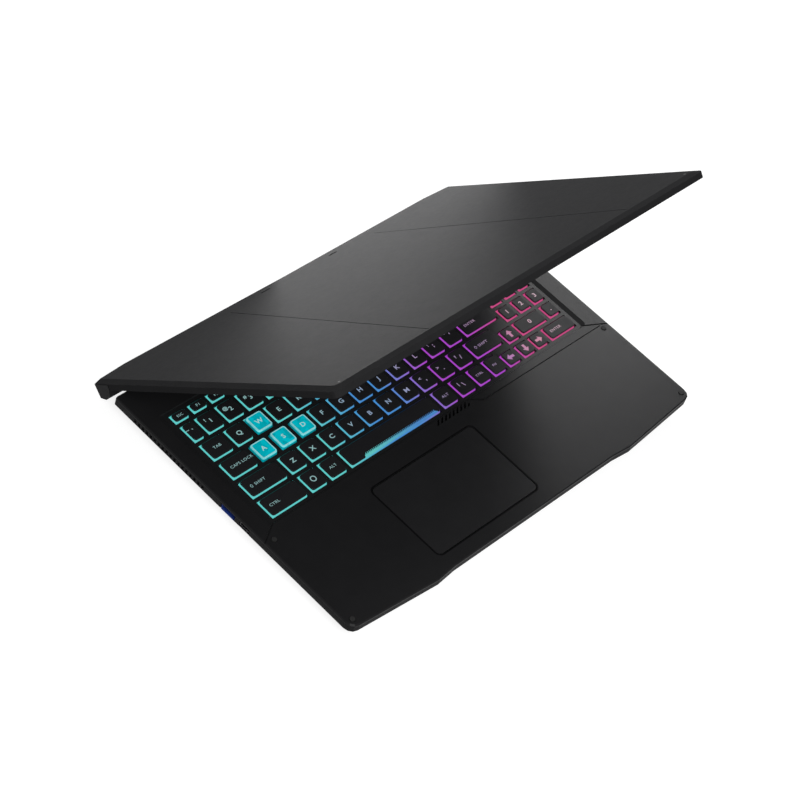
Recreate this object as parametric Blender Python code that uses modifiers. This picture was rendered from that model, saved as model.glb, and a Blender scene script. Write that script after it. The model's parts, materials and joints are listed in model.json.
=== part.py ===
"""A gaming laptop computer, standing with its lid part way open, built piece by piece.

Units are metres. +X is the typist's right, +Y runs from the typist to the hinge, +Z is up.
The feet stand on z = 0, and the origin lies under the middle of the open laptop's box.
"""

import math

import bmesh
import bpy
from mathutils import Matrix, Vector

MM = 0.001
DEG = math.pi / 180.0

# Clearances
SEAT_GAP = 0.3 * MM
KEY_CLEARANCE = 0.4 * MM
PAD_CLEARANCE = 0.6 * MM

# Base: plan, seen from above, and its heights above the table
BASE_WIDTH = 353.0 * MM
BASE_DEPTH = 239.0 * MM
FRONT_CORNER_SETBACK = 6.2 * MM
FRONT_KINK_OUTER_X = 99.6 * MM
FRONT_KINK_INNER_X = 82.6 * MM
FRONT_KINK_STEP = 1.6 * MM
FRONT_CORNER_RADIUS = 7.0 * MM
BACK_CORNER_RADIUS = 1.0 * MM
FOOT_HEIGHT = 1.6 * MM
BASE_THICKNESS = 16.0 * MM
DECK_PLATE = 2.0 * MM
DECK_EDGE_CHAMFER = 0.8 * MM
SIDE_WALL_HEIGHT = 6.6 * MM
SIDE_UNDERCUT = 8.5 * MM
FRONT_UNDERCUT = 9.5 * MM
BACK_UNDERCUT = 3.0 * MM
SHELL_WALL = 1.6 * MM

# Lid, measured from the hinge axis while shut: forward to the front edge, up to the outer face
REST_ANGLE = 43.05 * DEG
HINGE_BEHIND_BASE = 7.2 * MM
HINGE_BELOW_DECK = 2.0 * MM
LID_OVERHANG = 3.0 * MM
LID_TOP = 9.3 * MM
LID_UNDERSIDE = 3.1 * MM
LID_BORDER = 5.0 * MM
LID_BORDER_DROP = 1.8 * MM
LID_PLATE = 1.6 * MM
LID_WALL = 1.7 * MM
LID_CORNER_RADIUS = 4.0 * MM
LID_REAR_MIDDLE = 9.0 * MM
LID_REAR_SHOULDER = 11.5 * MM
LID_REAR_SHOULDER_INSET = 29.5 * MM
LID_REAR_CORNER = 7.8 * MM
LID_REAR_SLOPE = 1.2 * MM
LID_REAR_ZONE = 8.0 * MM
LID_REAR_PLATE = 2.1 * MM
LID_CREASE_REAR = 6.0 * MM
LID_CREASE_FRONT_MARGIN = 6.2 * MM
LID_CREASE_WIDTH = 0.6 * MM
LID_CREASE_DEPTH = 0.18 * MM
LID_CREASE_XS = ((81.0 * MM, 105.0 * MM), (-64.0 * MM, -91.0 * MM))
LID_MARK_XS = (-25.5 * MM, 42.5 * MM)
LID_MARK_LENGTH = 8.0 * MM
LID_MARK_WIDTH = 1.8 * MM
LID_MARK_DEPTH = 0.6 * MM

# Screen
SCREEN_SIDE_MARGIN = 7.4 * MM
SCREEN_TOP_MARGIN = 12.6 * MM
SCREEN_BOTTOM_MARGIN = 40.0 * MM
PANEL_BORDER_SIDE = 3.1 * MM
PANEL_BORDER_BELOW = 7.0 * MM
PANEL_BORDER_ABOVE = 2.2 * MM
PANEL_THICKNESS = 2.6 * MM
BEZEL_THICKNESS = 1.4 * MM
WEBCAM_BOARD = (64.0 * MM, 5.2 * MM, 1.8 * MM)
WEBCAM_LENS_RADIUS = 2.0 * MM
WEBCAM_LENS_CLEARANCE = 0.4 * MM
WEBCAM_LENS_RECESS = 0.2 * MM

# Hinge cover, the bar along the lid's rear edge
COVER_SHOULDER_INSET = 14.5 * MM
COVER_REAR_SHOULDER = 11.9 * MM
COVER_REAR_MIDDLE = 9.4 * MM
COVER_REAR_CORNER = 7.8 * MM
COVER_BOTTOM = 4.2 * MM
COVER_FRONT = 7.0 * MM
COVER_END_WALL = 5.0 * MM
COVER_LIP = (0.3 * MM, 1.2 * MM)
COVER_REAR_FOOT = (-6.4 * MM, -2.9 * MM)
COVER_LOWEST_LINE = -0.5 * MM
COVER_FRONT_FOOT = (4.6 * MM, -2.4 * MM)
COVER_TROUGH_REAR = (-7.4 * MM, 6.0 * MM)
COVER_TROUGH_REAR_FOOT = (-4.9 * MM, -1.8 * MM)
COVER_TROUGH_FRONT_FOOT = (3.7 * MM, -1.6 * MM)
COVER_TROUGH_FRONT = (5.4 * MM, 3.0 * MM)
COVER_NOTCH_CLEARANCE = 1.0 * MM
COVER_NOTCH_REAR = 4.9 * MM

# Hinges
HINGE_LID_INSET = 18.5 * MM
HINGE_SPAN = 34.0 * MM
HINGE_BARREL_RADIUS = 3.1 * MM
HINGE_PIN_RADIUS = 1.5 * MM
HINGE_PIN_CLEARANCE = 0.2 * MM
HINGE_KNUCKLE_LENGTH = 14.0 * MM
HINGE_BRACKET_LENGTH = 24.0 * MM
HINGE_LEAF_LENGTH = 24.0 * MM
HINGE_PLATE_THICKNESS = 1.5 * MM
HINGE_ARM_WIDTH = 14.0 * MM
HINGE_ARM_THICKNESS = 2.4 * MM

# Keyboard
KEYS_LEFT_MARGIN = 19.3 * MM
KEYS_RIGHT_MARGIN = 22.9 * MM
KEYS_BACK_MARGIN = 32.9 * MM
KEY_ROW_PITCH = 19.3 * MM
KEY_GAP = 3.6 * MM
BACKTICK_WIDTH = 9.3 * MM
TAB_WIDTH = 18.7 * MM
CAPS_WIDTH = 23.5 * MM
SHIFT_WIDTH = 33.0 * MM
LEFT_CTRL_WIDTH = 33.6 * MM
LEFT_ALT_WIDTH = 15.4 * MM
BACKSPACE_WIDTH = 29.0 * MM
NARROW_KEY_WIDTH = 12.6 * MM
ARROW_WIDTH = 12.3 * MM
ARROW_GAP = 2.7 * MM
FUNCTION_KEY_DEPTH = 7.6 * MM
FUNCTION_KEY_COUNT = 19
NUMPAD_WIDTH = 42.1 * MM
WELL_DEPTH = 0.8 * MM
WELL_MARGIN = 3.4 * MM
WELL_FLARE = 0.5 * MM
WELL_SIDE_FLARE = 4.0 * MM
WELL_CORNER_RADIUS = 3.0 * MM
KEY_RISE = 0.75 * MM
KEY_TAPER = 0.9 * MM
KEY_CORNER = 1.3 * MM
KEY_SKIRT = 0.9 * MM
KEY_TRAVEL = 1.5 * MM
COMB_THICKNESS = 0.6 * MM
COMB_RAIL = 1.2 * MM
COMB_TOOTH = 6.0 * MM
COMB_TOOTH_REACH = 2.0 * MM
COMB_WEB_MARGIN = 1.0 * MM
KEYBOARD_TRAY_FLOOR = 0.8 * MM
KEYBOARD_TRAY_RIM = 2.4 * MM
KEYBOARD_TRAY_MARGIN = 6.0 * MM

# Touchpad
PAD_WIDTH = 100.4 * MM
PAD_FROM_KEYS = 21.7 * MM
PAD_LEFT_OF_KEYS = 11.15 * MM
PAD_FROM_FRONT = 13.9 * MM
PAD_CORNER_RADIUS = 3.6 * MM
PAD_THICKNESS = 1.4 * MM
PAD_SINK = 0.25 * MM

# Slots, creases and bumpers on the deck
SLOT_COUNT = 9
SLOT_RIGHT_OF_PAD = 30.7 * MM
SLOT_STEP = 3.95 * MM
SLOT_WIDTH = 1.8 * MM
SLOT_LENGTH = 4.2 * MM
SLOT_LAST_LENGTH = 2.3 * MM
SLOT_FROM_KEYS = 8.5 * MM
SLOT_SLANT = 0.95
CREASE_WIDTH = 1.1 * MM
CREASE_DEPTH = 0.75 * MM
CREASE_INSET = 0.5 * MM
CREASE_BEHIND_BUMPER = 3.3 * MM
CREASE_SIDE_DROP = 2.4 * MM
CREASE_START_FROM_PAD = 65.8 * MM
CREASE_TURN_FROM_PAD = 76.8 * MM
CREASE_END_MARGIN = 4.0 * MM
BUMPER_FRONT_MARGIN = 5.3 * MM
BUMPER_REAR_MARGIN = 7.2 * MM
BUMPER_FRONT_LINE = 11.6 * MM
BUMPER_FROM_KEYS = 14.0 * MM
BUMPER_RADIUS = 1.9 * MM
BUMPER_RISE = 0.6 * MM
BUMPER_SINK = 1.0 * MM

# Feet
FRONT_FOOT_LENGTH = 40.0 * MM
FRONT_FOOT_INSET = 58.5 * MM
FRONT_FOOT_LINE = 20.0 * MM
REAR_FOOT_INSET = 26.5 * MM
REAR_FOOT_FROM_BACK = 17.0 * MM
FOOT_WIDTH = 9.0 * MM
FOOT_RECESS = 0.5 * MM
FOOT_END_RADIUS = 3.6 * MM

# Cooling
FAN_INSET = 64.5 * MM
FAN_FROM_BACK = 51.0 * MM
FAN_SIZE = 60.0 * MM
FAN_HEIGHT = 7.0 * MM
FAN_WALL = 2.5 * MM
FAN_ROOF_GAP = 1.0 * MM
FAN_OUTLET_POST = 6.0 * MM
FAN_BLADE_CLEARANCE = 1.5 * MM
FAN_BLADE_COUNT = 13
FAN_BLADE_LEAN = 18 * DEG
FAN_BLADE_INSET = 0.4 * MM
FAN_BLADE_THICKNESS = 0.9 * MM
FAN_HUB_RADIUS = 11.0 * MM
FAN_POST_RADIUS = 2.0 * MM
FAN_POST_CLEARANCE = 0.25 * MM
FAN_FLOOR = 0.8 * MM
FAN_ROTOR_LIFT = 0.6 * MM
FAN_INLET_COUNT = 6
FAN_INLET_RADIUS = 4.6 * MM
FAN_INLET_FROM_POST = 11.4 * MM
HEATSINK_WIDTH = 15.0 * MM
HEATSINK_FIN_COUNT = 11
HEATSINK_FIN = 1.2 * MM
HEATSINK_BASE = 0.8 * MM
PIPE_RADIUS = 1.3 * MM
PIPE_STRAIGHT_X = 40.0 * MM
PIPE_FROM_NECK = 8.0 * MM
PIPE_FAN_CLEARANCE = 2.2 * MM
PIPE_BEND = 8.0 * MM
PIPE_END_PAST_FAN_AXIS = 16.0 * MM
SIDE_VENT_COUNT = 18
SIDE_VENT_AHEAD_OF_FAN = 38.2 * MM
SIDE_VENT_BELOW_RIM = 0.6 * MM
SIDE_VENT_STEP = 4.0 * MM
SIDE_VENT_WIDTH = 2.2 * MM
SIDE_VENT_HEIGHT = 3.2 * MM
REAR_VENT_COUNT = 9
REAR_VENT_INBOARD = 22.4 * MM
REAR_VENT_STEP = 6.0 * MM
REAR_VENT_WIDTH = 3.6 * MM
REAR_VENT_HEIGHT = 6.0 * MM
FLOOR_VENT_COUNT = 9
FLOOR_VENT_STEP = 5.6 * MM
FLOOR_VENT_WIDTH = 2.2 * MM

# Electronics
BOARD_THICKNESS = 1.6 * MM
BOARD_LIFT = 1.8 * MM
BOARD_SIDE_MARGIN = 28.5 * MM
BOARD_FAN_CLEARANCE = 4.0 * MM
BOARD_SHOULDER_CLEARANCE = 6.0 * MM
BOARD_BATTERY_CLEARANCE = 8.0 * MM
BOARD_BACK_MARGIN = 13.0 * MM
CHIP_HEIGHT = 1.5 * MM
CHIP_SINK = 0.4 * MM
CHIPS_AHEAD_OF_FAN = 12.0 * MM
MAIN_CHIPS = ((-32.0 * MM, 16.0 * MM), (30.0 * MM, 18.0 * MM))
SMALL_CHIP = 6.0 * MM
SMALL_CHIP_INSET = 20.0 * MM
SMALL_CHIPS_MIDDLE = ((0.0 * MM, 30.0 * MM), (-8.0 * MM, -24.0 * MM))
SMALL_CHIPS_EDGE = ((-1, -26.0 * MM), (1, 26.0 * MM), (1, -26.0 * MM))
BOSS_RADIUS = 3.0 * MM
BOSS_SIDE_MARGIN = 23.7 * MM
BOSS_NECK_MARGIN = 12.5 * MM
BOSS_FRONT_MARGIN = 8.0 * MM
BOSS_REAR_MARGIN = 6.0 * MM
BATTERY_SPEAKER_CLEARANCE = 12.0 * MM
BATTERY_DEPTH = 60.0 * MM
BATTERY_HEIGHT = 7.2 * MM
BATTERY_FROM_FRONT = 16.0 * MM
BATTERY_EDGE = 1.0 * MM
SSD_SIZE = (80.0 * MM, 22.0 * MM, 2.2 * MM)
SSD_FROM_BOARD_SIDE = 53.0 * MM
SSD_FROM_BOARD_FRONT = 16.0 * MM
MEMORY_SIZE = (69.6 * MM, 30.0 * MM, 2.4 * MM)
MEMORY_X = 20.0 * MM
MEMORY_FROM_BOARD_FRONT = 24.0 * MM
SPEAKER_SIZE = (32.0 * MM, 48.0 * MM, 8.0 * MM)
SPEAKER_EDGE = 1.2 * MM
SPEAKER_INSET = 35.5 * MM
SPEAKER_FROM_FRONT = 48.0 * MM

# Sockets: centre from the back edge, mouth along the wall, mouth height and shell depth
SOCKET_SHELL = 0.5 * MM
SOCKET_RECESS = 1.3 * MM
USB_A_MOUTH = (12.5 * MM, 5.1 * MM, 11.2 * MM)
USB_C_MOUTH = (8.9 * MM, 3.2 * MM, 9.0 * MM)
HDMI_MOUTH = (15.0 * MM, 5.2 * MM, 11.2 * MM)
LAN_MOUTH = (12.0 * MM, 7.2 * MM, 15.0 * MM)
POWER_MOUTH_RADIUS = 2.8 * MM
POWER_PIN_RADIUS = 0.9 * MM
POWER_BODY = (9.0 * MM, 8.4 * MM, 13.0 * MM)
LEFT_USB_FROM_BACK = 114.2 * MM
LEFT_MEDIA_FROM_BACK = 130.6 * MM
RIGHT_USB_FROM_BACK = 127.0 * MM
RIGHT_USB_C_FROM_BACK = 109.0 * MM
RIGHT_HDMI_FROM_BACK = 89.0 * MM
RIGHT_LAN_FROM_BACK = 65.0 * MM
RIGHT_POWER_FROM_BACK = 42.0 * MM
POWER_WELL = 10.0 * MM
TONGUE_SETBACK = 1.2 * MM
TONGUE_WIDTH_SHARE = 0.82
TONGUE_HEIGHT_SHARE = 0.36
USB_TONGUE_RAISE = 0.9 * MM

# Places worked out from the sizes above
LID_WIDTH = BASE_WIDTH + 2 * LID_OVERHANG
LID_REACH = BASE_DEPTH + HINGE_BEHIND_BASE
LID_REAR_SHOULDER_X = LID_WIDTH / 2 - LID_REAR_SHOULDER_INSET
COVER_SHOULDER_X = LID_WIDTH / 2 - COVER_SHOULDER_INSET
HINGE_OUTER_X = LID_WIDTH / 2 - HINGE_LID_INSET
HINGE_INNER_X = HINGE_OUTER_X - HINGE_SPAN
SCREEN_WIDTH = LID_WIDTH - 2 * SCREEN_SIDE_MARGIN
SCREEN_HEIGHT = LID_REACH - SCREEN_TOP_MARGIN - SCREEN_BOTTOM_MARGIN
PANEL_WIDTH = SCREEN_WIDTH + 2 * PANEL_BORDER_SIDE
REST_REAR = COVER_REAR_SHOULDER * math.cos(REST_ANGLE) + (
    LID_TOP - LID_REAR_PLATE - SEAT_GAP
) * math.sin(REST_ANGLE)
REST_LID_REAR = (LID_REAR_SHOULDER - LID_REAR_SLOPE) * math.cos(REST_ANGLE) + (
    LID_TOP * math.sin(REST_ANGLE)
)
FRONT_Y = -(LID_REACH + max(REST_REAR, REST_LID_REAR)) / 2
DECK_Z = FOOT_HEIGHT + BASE_THICKNESS
WELL_Z = DECK_Z - WELL_DEPTH
DECK_UNDERSIDE = DECK_Z - DECK_PLATE
RIM_Z = DECK_UNDERSIDE - SEAT_GAP
KNEE_Z = DECK_Z - SIDE_WALL_HEIGHT
FLOOR_Z = FOOT_HEIGHT + SHELL_WALL
HINGE_Y = FRONT_Y + LID_REACH
HINGE_Z = DECK_Z - HINGE_BELOW_DECK
KEYS_LEFT = -BASE_WIDTH / 2 + KEYS_LEFT_MARGIN
KEYS_RIGHT = BASE_WIDTH / 2 - KEYS_RIGHT_MARGIN
KEYS_WIDTH = KEYS_RIGHT - KEYS_LEFT
NUMPAD_LEFT = KEYS_RIGHT - NUMPAD_WIDTH
MAIN_RIGHT = NUMPAD_LEFT - KEY_GAP
NUMBER_ROW_KEYS = MAIN_RIGHT - KEYS_LEFT - BACKTICK_WIDTH - KEY_GAP - BACKSPACE_WIDTH
KEY_PITCH = NUMBER_ROW_KEYS / 12
STANDARD_KEY = KEY_PITCH - KEY_GAP
KEY_DEPTH = KEY_ROW_PITCH - KEY_GAP
NUMPAD_KEY = (NUMPAD_WIDTH - 2 * KEY_GAP) / 3
NUMPAD_ROW_PITCH = KEY_ROW_PITCH * 5 / 6
NUMPAD_KEY_DEPTH = NUMPAD_ROW_PITCH - KEY_GAP
KEYS_DEPTH = 5 * KEY_ROW_PITCH + FUNCTION_KEY_DEPTH
KEYS_FRONT = BASE_DEPTH - KEYS_BACK_MARGIN - KEYS_DEPTH
PAD_DEPTH = KEYS_FRONT - PAD_FROM_FRONT - PAD_FROM_KEYS
PAD_CENTRE_X = (KEYS_LEFT + MAIN_RIGHT) / 2 - PAD_LEFT_OF_KEYS
SLOT_FIRST_X = PAD_CENTRE_X + SLOT_RIGHT_OF_PAD
SLOT_FROM_FRONT = KEYS_FRONT - SLOT_FROM_KEYS
BUMPER_FRONT_X = BASE_WIDTH / 2 - BUMPER_FRONT_MARGIN
BUMPER_REAR_X = BASE_WIDTH / 2 - BUMPER_REAR_MARGIN
BUMPER_REAR_LINE = KEYS_FRONT - BUMPER_FROM_KEYS
FRONT_FOOT_X = BASE_WIDTH / 2 - FRONT_FOOT_INSET
REAR_FOOT_LENGTH = BASE_WIDTH - 2 * REAR_FOOT_INSET
REAR_FOOT_LINE = BASE_DEPTH - REAR_FOOT_FROM_BACK
FAN_X = BASE_WIDTH / 2 - FAN_INSET
FAN_FROM_FRONT = BASE_DEPTH - FAN_FROM_BACK
FAN_CAVITY_RADIUS = FAN_SIZE / 2 - FAN_WALL
FAN_BLADE_RADIUS = FAN_CAVITY_RADIUS - FAN_BLADE_CLEARANCE
SIDE_VENT_FIRST = FAN_FROM_FRONT - SIDE_VENT_AHEAD_OF_FAN
BOARD_WIDTH = BASE_WIDTH - 2 * BOARD_SIDE_MARGIN
BOARD_NECK_WIDTH = 2 * (FAN_X - FAN_SIZE / 2 - BOARD_FAN_CLEARANCE)
BOARD_FRONT = BATTERY_FROM_FRONT + BATTERY_DEPTH + BOARD_BATTERY_CLEARANCE
BOARD_SHOULDER = FAN_FROM_FRONT - FAN_SIZE / 2 - BOARD_SHOULDER_CLEARANCE
BOARD_REAR = BASE_DEPTH - BOARD_BACK_MARGIN
CHIP_FROM_FRONT = FAN_FROM_FRONT - CHIPS_AHEAD_OF_FAN
SPEAKER_X = BASE_WIDTH / 2 - SPEAKER_INSET
BATTERY_WIDTH = 2 * (SPEAKER_X - SPEAKER_SIZE[0] / 2 - BATTERY_SPEAKER_CLEARANCE)
KEY_BOTTOM = DECK_UNDERSIDE - KEY_SKIRT
COMB_TOP = KEY_BOTTOM + SEAT_GAP
COMB_BOTTOM = COMB_TOP - COMB_THICKNESS
TRAY_FLOOR_TOP = COMB_BOTTOM - KEY_TRAVEL - SEAT_GAP
BEZEL_TOP = LID_UNDERSIDE + BEZEL_THICKNESS
PANEL_BOTTOM = BEZEL_TOP + SEAT_GAP
FAN_BOTTOM = FLOOR_Z + SEAT_GAP
BOARD_BOTTOM = FLOOR_Z + BOARD_LIFT + SEAT_GAP
BOARD_TOP = BOARD_BOTTOM + BOARD_THICKNESS
CHIP_TOP = BOARD_TOP + CHIP_HEIGHT
SOCKET_TOP = RIM_Z - SEAT_GAP


def y_at(from_front):
    """World Y of a place given by its distance from the base's front edge."""
    return FRONT_Y + from_front


# ---- Scene ---------------------------------------------------------------


def clear_scene():
    for old in list(bpy.data.objects):
        bpy.data.objects.remove(old)


def new_collection(name):
    collection = bpy.data.collections.new(name)
    bpy.context.scene.collection.children.link(collection)
    return collection


def new_material(name, colour, roughness, metallic=0.0, emission=0.0):
    material = bpy.data.materials.new(name)
    material.use_nodes = True
    shader = material.node_tree.nodes["Principled BSDF"]
    shader.inputs["Base Color"].default_value = (*colour, 1.0)
    shader.inputs["Roughness"].default_value = roughness
    shader.inputs["Metallic"].default_value = metallic
    shader.inputs["Emission Color"].default_value = (*colour, 1.0)
    shader.inputs["Emission Strength"].default_value = emission
    material.diffuse_color = (*colour, 1.0)
    return material


clear_scene()
LAPTOP = new_collection("laptop_computer")
CUTTERS = new_collection("cutters")
CUTTERS.hide_render = True

# ---- Shapes --------------------------------------------------------------


def move_to(obj, collection):
    for holder in list(obj.users_collection):
        holder.objects.unlink(obj)
    collection.objects.link(obj)


def finish(obj, name, material, parent=None):
    """Names a piece, gives it its material and puts it with the laptop's pieces."""
    obj.name = name
    obj.data.name = name
    obj.data.materials.clear()
    obj.data.materials.append(material)
    if parent is not None:
        obj.parent = parent
    move_to(obj, LAPTOP)
    return obj


def as_cutter(obj, parent=None):
    obj.hide_render = True
    obj.display_type = "WIRE"
    if parent is not None:
        obj.parent = parent
    move_to(obj, CUTTERS)
    return obj


def combine(body, other, operation):
    modifier = body.modifiers.new(operation.lower(), "BOOLEAN")
    modifier.operation = operation
    modifier.solver = "EXACT"
    modifier.object = as_cutter(other, body.parent)


def cut(body, other):
    combine(body, other, "DIFFERENCE")


def join(body, other):
    combine(body, other, "UNION")


def mesh_object(name, bm):
    bmesh.ops.recalc_face_normals(bm, faces=bm.faces)
    mesh = bpy.data.meshes.new(name)
    bm.to_mesh(mesh)
    bm.free()
    obj = bpy.data.objects.new(name, mesh)
    bpy.context.scene.collection.objects.link(obj)
    return obj


def add_loft(bm, rings):
    """Adds one closed skin through rings that hold the same number of points."""
    loops = [[bm.verts.new(point) for point in ring] for ring in rings]
    count = len(loops[0])
    for lower, upper in zip(loops, loops[1:]):
        for i in range(count):
            j = (i + 1) % count
            bm.faces.new((lower[i], lower[j], upper[j], upper[i]))
    bm.faces.new(list(reversed(loops[0])))
    bm.faces.new(loops[-1])


def loft(name, rings):
    bm = bmesh.new()
    add_loft(bm, rings)
    return mesh_object(name, bm)


def level(outline, z):
    return [(x, y, z) for x, y in outline]


def boxes(name, corner_pairs):
    """One mesh of plain boxes, each given by its lowest and highest corner."""
    bm = bmesh.new()
    for low, high in corner_pairs:
        centre = [(a + b) / 2 for a, b in zip(low, high)]
        size = [b - a for a, b in zip(low, high)]
        place = Matrix.Translation(centre) @ Matrix.Diagonal((*size, 1.0))
        bmesh.ops.create_cube(bm, size=1.0, matrix=place)
    return mesh_object(name, bm)


def box(name, low, high):
    return boxes(name, [(low, high)])


AXES = {
    "X": Matrix.Rotation(math.pi / 2, 4, "Y"),
    "Y": Matrix.Rotation(math.pi / 2, 4, "X"),
    "Z": Matrix.Identity(4),
}


def rods(name, radius, length, centres, axis="Z", segments=24):
    """One mesh of round rods that share a radius, a length and a direction."""
    bm = bmesh.new()
    for centre in centres:
        bmesh.ops.create_cone(
            bm,
            cap_ends=True,
            segments=segments,
            radius1=radius,
            radius2=radius,
            depth=length,
            matrix=Matrix.Translation(centre) @ AXES[axis],
        )
    obj = mesh_object(name, bm)
    obj.data.shade_smooth()
    obj.data.set_sharp_from_angle(angle=40 * DEG)
    return obj


def solid_from_curve(curve_object):
    """Turns a curve object into a welded mesh object in the same place."""
    depsgraph = bpy.context.evaluated_depsgraph_get()
    mesh = bpy.data.meshes.new_from_object(curve_object.evaluated_get(depsgraph))
    bm = bmesh.new()
    bm.from_mesh(mesh)
    bmesh.ops.remove_doubles(bm, verts=bm.verts, dist=0.01 * MM)
    bm.to_mesh(mesh)
    bm.free()
    obj = bpy.data.objects.new(curve_object.name, mesh)
    obj.matrix_world = curve_object.matrix_world
    bpy.context.scene.collection.objects.link(obj)
    bpy.data.objects.remove(curve_object)
    return obj


def plate(name, outline, bottom, top):
    """A flat outline made thick between two heights."""
    curve = bpy.data.curves.new(name, "CURVE")
    curve.dimensions = "2D"
    curve.fill_mode = "BOTH"
    curve.extrude = (top - bottom) / 2
    spline = curve.splines.new("POLY")
    spline.points.add(len(outline) - 1)
    for point, (x, y) in zip(spline.points, outline):
        point.co = (x, y, 0.0, 1.0)
    spline.use_cyclic_u = True
    obj = bpy.data.objects.new(name, curve)
    obj.location.z = (bottom + top) / 2
    bpy.context.scene.collection.objects.link(obj)
    bpy.context.view_layer.update()
    return solid_from_curve(obj)


def rounded(corners, steps=3):
    """Outline through (x, y, radius) corners, with an arc of steps + 1 points at each rounded one."""
    outline = []
    count = len(corners)
    for i, (x, y, radius) in enumerate(corners):
        corner = Vector((x, y))
        if radius == 0.0:
            outline.append((x, y))
            continue
        to_last = (Vector(corners[i - 1][:2]) - corner).normalized()
        to_next = (Vector(corners[(i + 1) % count][:2]) - corner).normalized()
        half = to_last.angle(to_next) / 2
        centre = corner + (to_last + to_next).normalized() * (radius / math.sin(half))
        start = corner + to_last * (radius / math.tan(half)) - centre
        end = corner + to_next * (radius / math.tan(half)) - centre
        sweep = start.angle_signed(end)
        for step in range(steps + 1):
            arm = start.copy()
            arm.rotate(Matrix.Rotation(-sweep * step / steps, 2))
            outline.append(tuple(centre + arm))
    return outline


def rounded_rectangle(left, right, front, back, radius, steps=3):
    corners = [(left, front), (right, front), (right, back), (left, back)]
    return rounded([(x, y, radius) for x, y in corners], steps)


def base_outline(side, front, back):
    """The base's plan, drawn in from its sides, front and back by three insets."""
    half = BASE_WIDTH / 2 - side
    inner = (FRONT_KINK_INNER_X, y_at(front + FRONT_KINK_STEP), 0.0)
    outer = (FRONT_KINK_OUTER_X, y_at(front), 0.0)
    corner = (half, y_at(front + FRONT_CORNER_SETBACK), FRONT_CORNER_RADIUS)
    rear = (half, y_at(BASE_DEPTH - back), BACK_CORNER_RADIUS)
    right = [inner, outer, corner, rear]
    left = [(-x, y, radius) for x, y, radius in reversed(right)]
    return rounded(right + left)


def lid_outline(side, front, back):
    """The lid's plan about the hinge axis, drawn in by three insets."""
    half = LID_WIDTH / 2 - side
    corner = (half, -LID_REACH + front, LID_CORNER_RADIUS)
    rear = (half, LID_REAR_CORNER - back, 0.0)
    shoulder = (LID_REAR_SHOULDER_X, LID_REAR_SHOULDER - back, 0.0)
    right = [corner, rear, shoulder]
    left = [(-x, y, radius) for x, y, radius in reversed(right)]
    return rounded(right + [(0.0, LID_REAR_MIDDLE - back, 0.0)] + left)


# ---- Keys: places --------------------------------------------------------


def lay(left, widths):
    """Left edge and width of each key of a row, from the left."""
    spans = []
    for width in widths:
        spans.append((left, width))
        left += width + KEY_GAP
    return spans


def fill_row(left, widths, right):
    """A row whose last key reaches the right edge of its block."""
    used = sum(widths) + KEY_GAP * len(widths)
    return lay(left, widths + [right - left - used])


def main_row(number):
    return y_at(KEYS_FRONT + number * KEY_ROW_PITCH)


def numpad_row(number):
    return y_at(KEYS_FRONT + number * NUMPAD_ROW_PITCH)


def place_keys(spans, front, depth):
    return [(left, front, width, depth) for left, width in spans]


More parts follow.
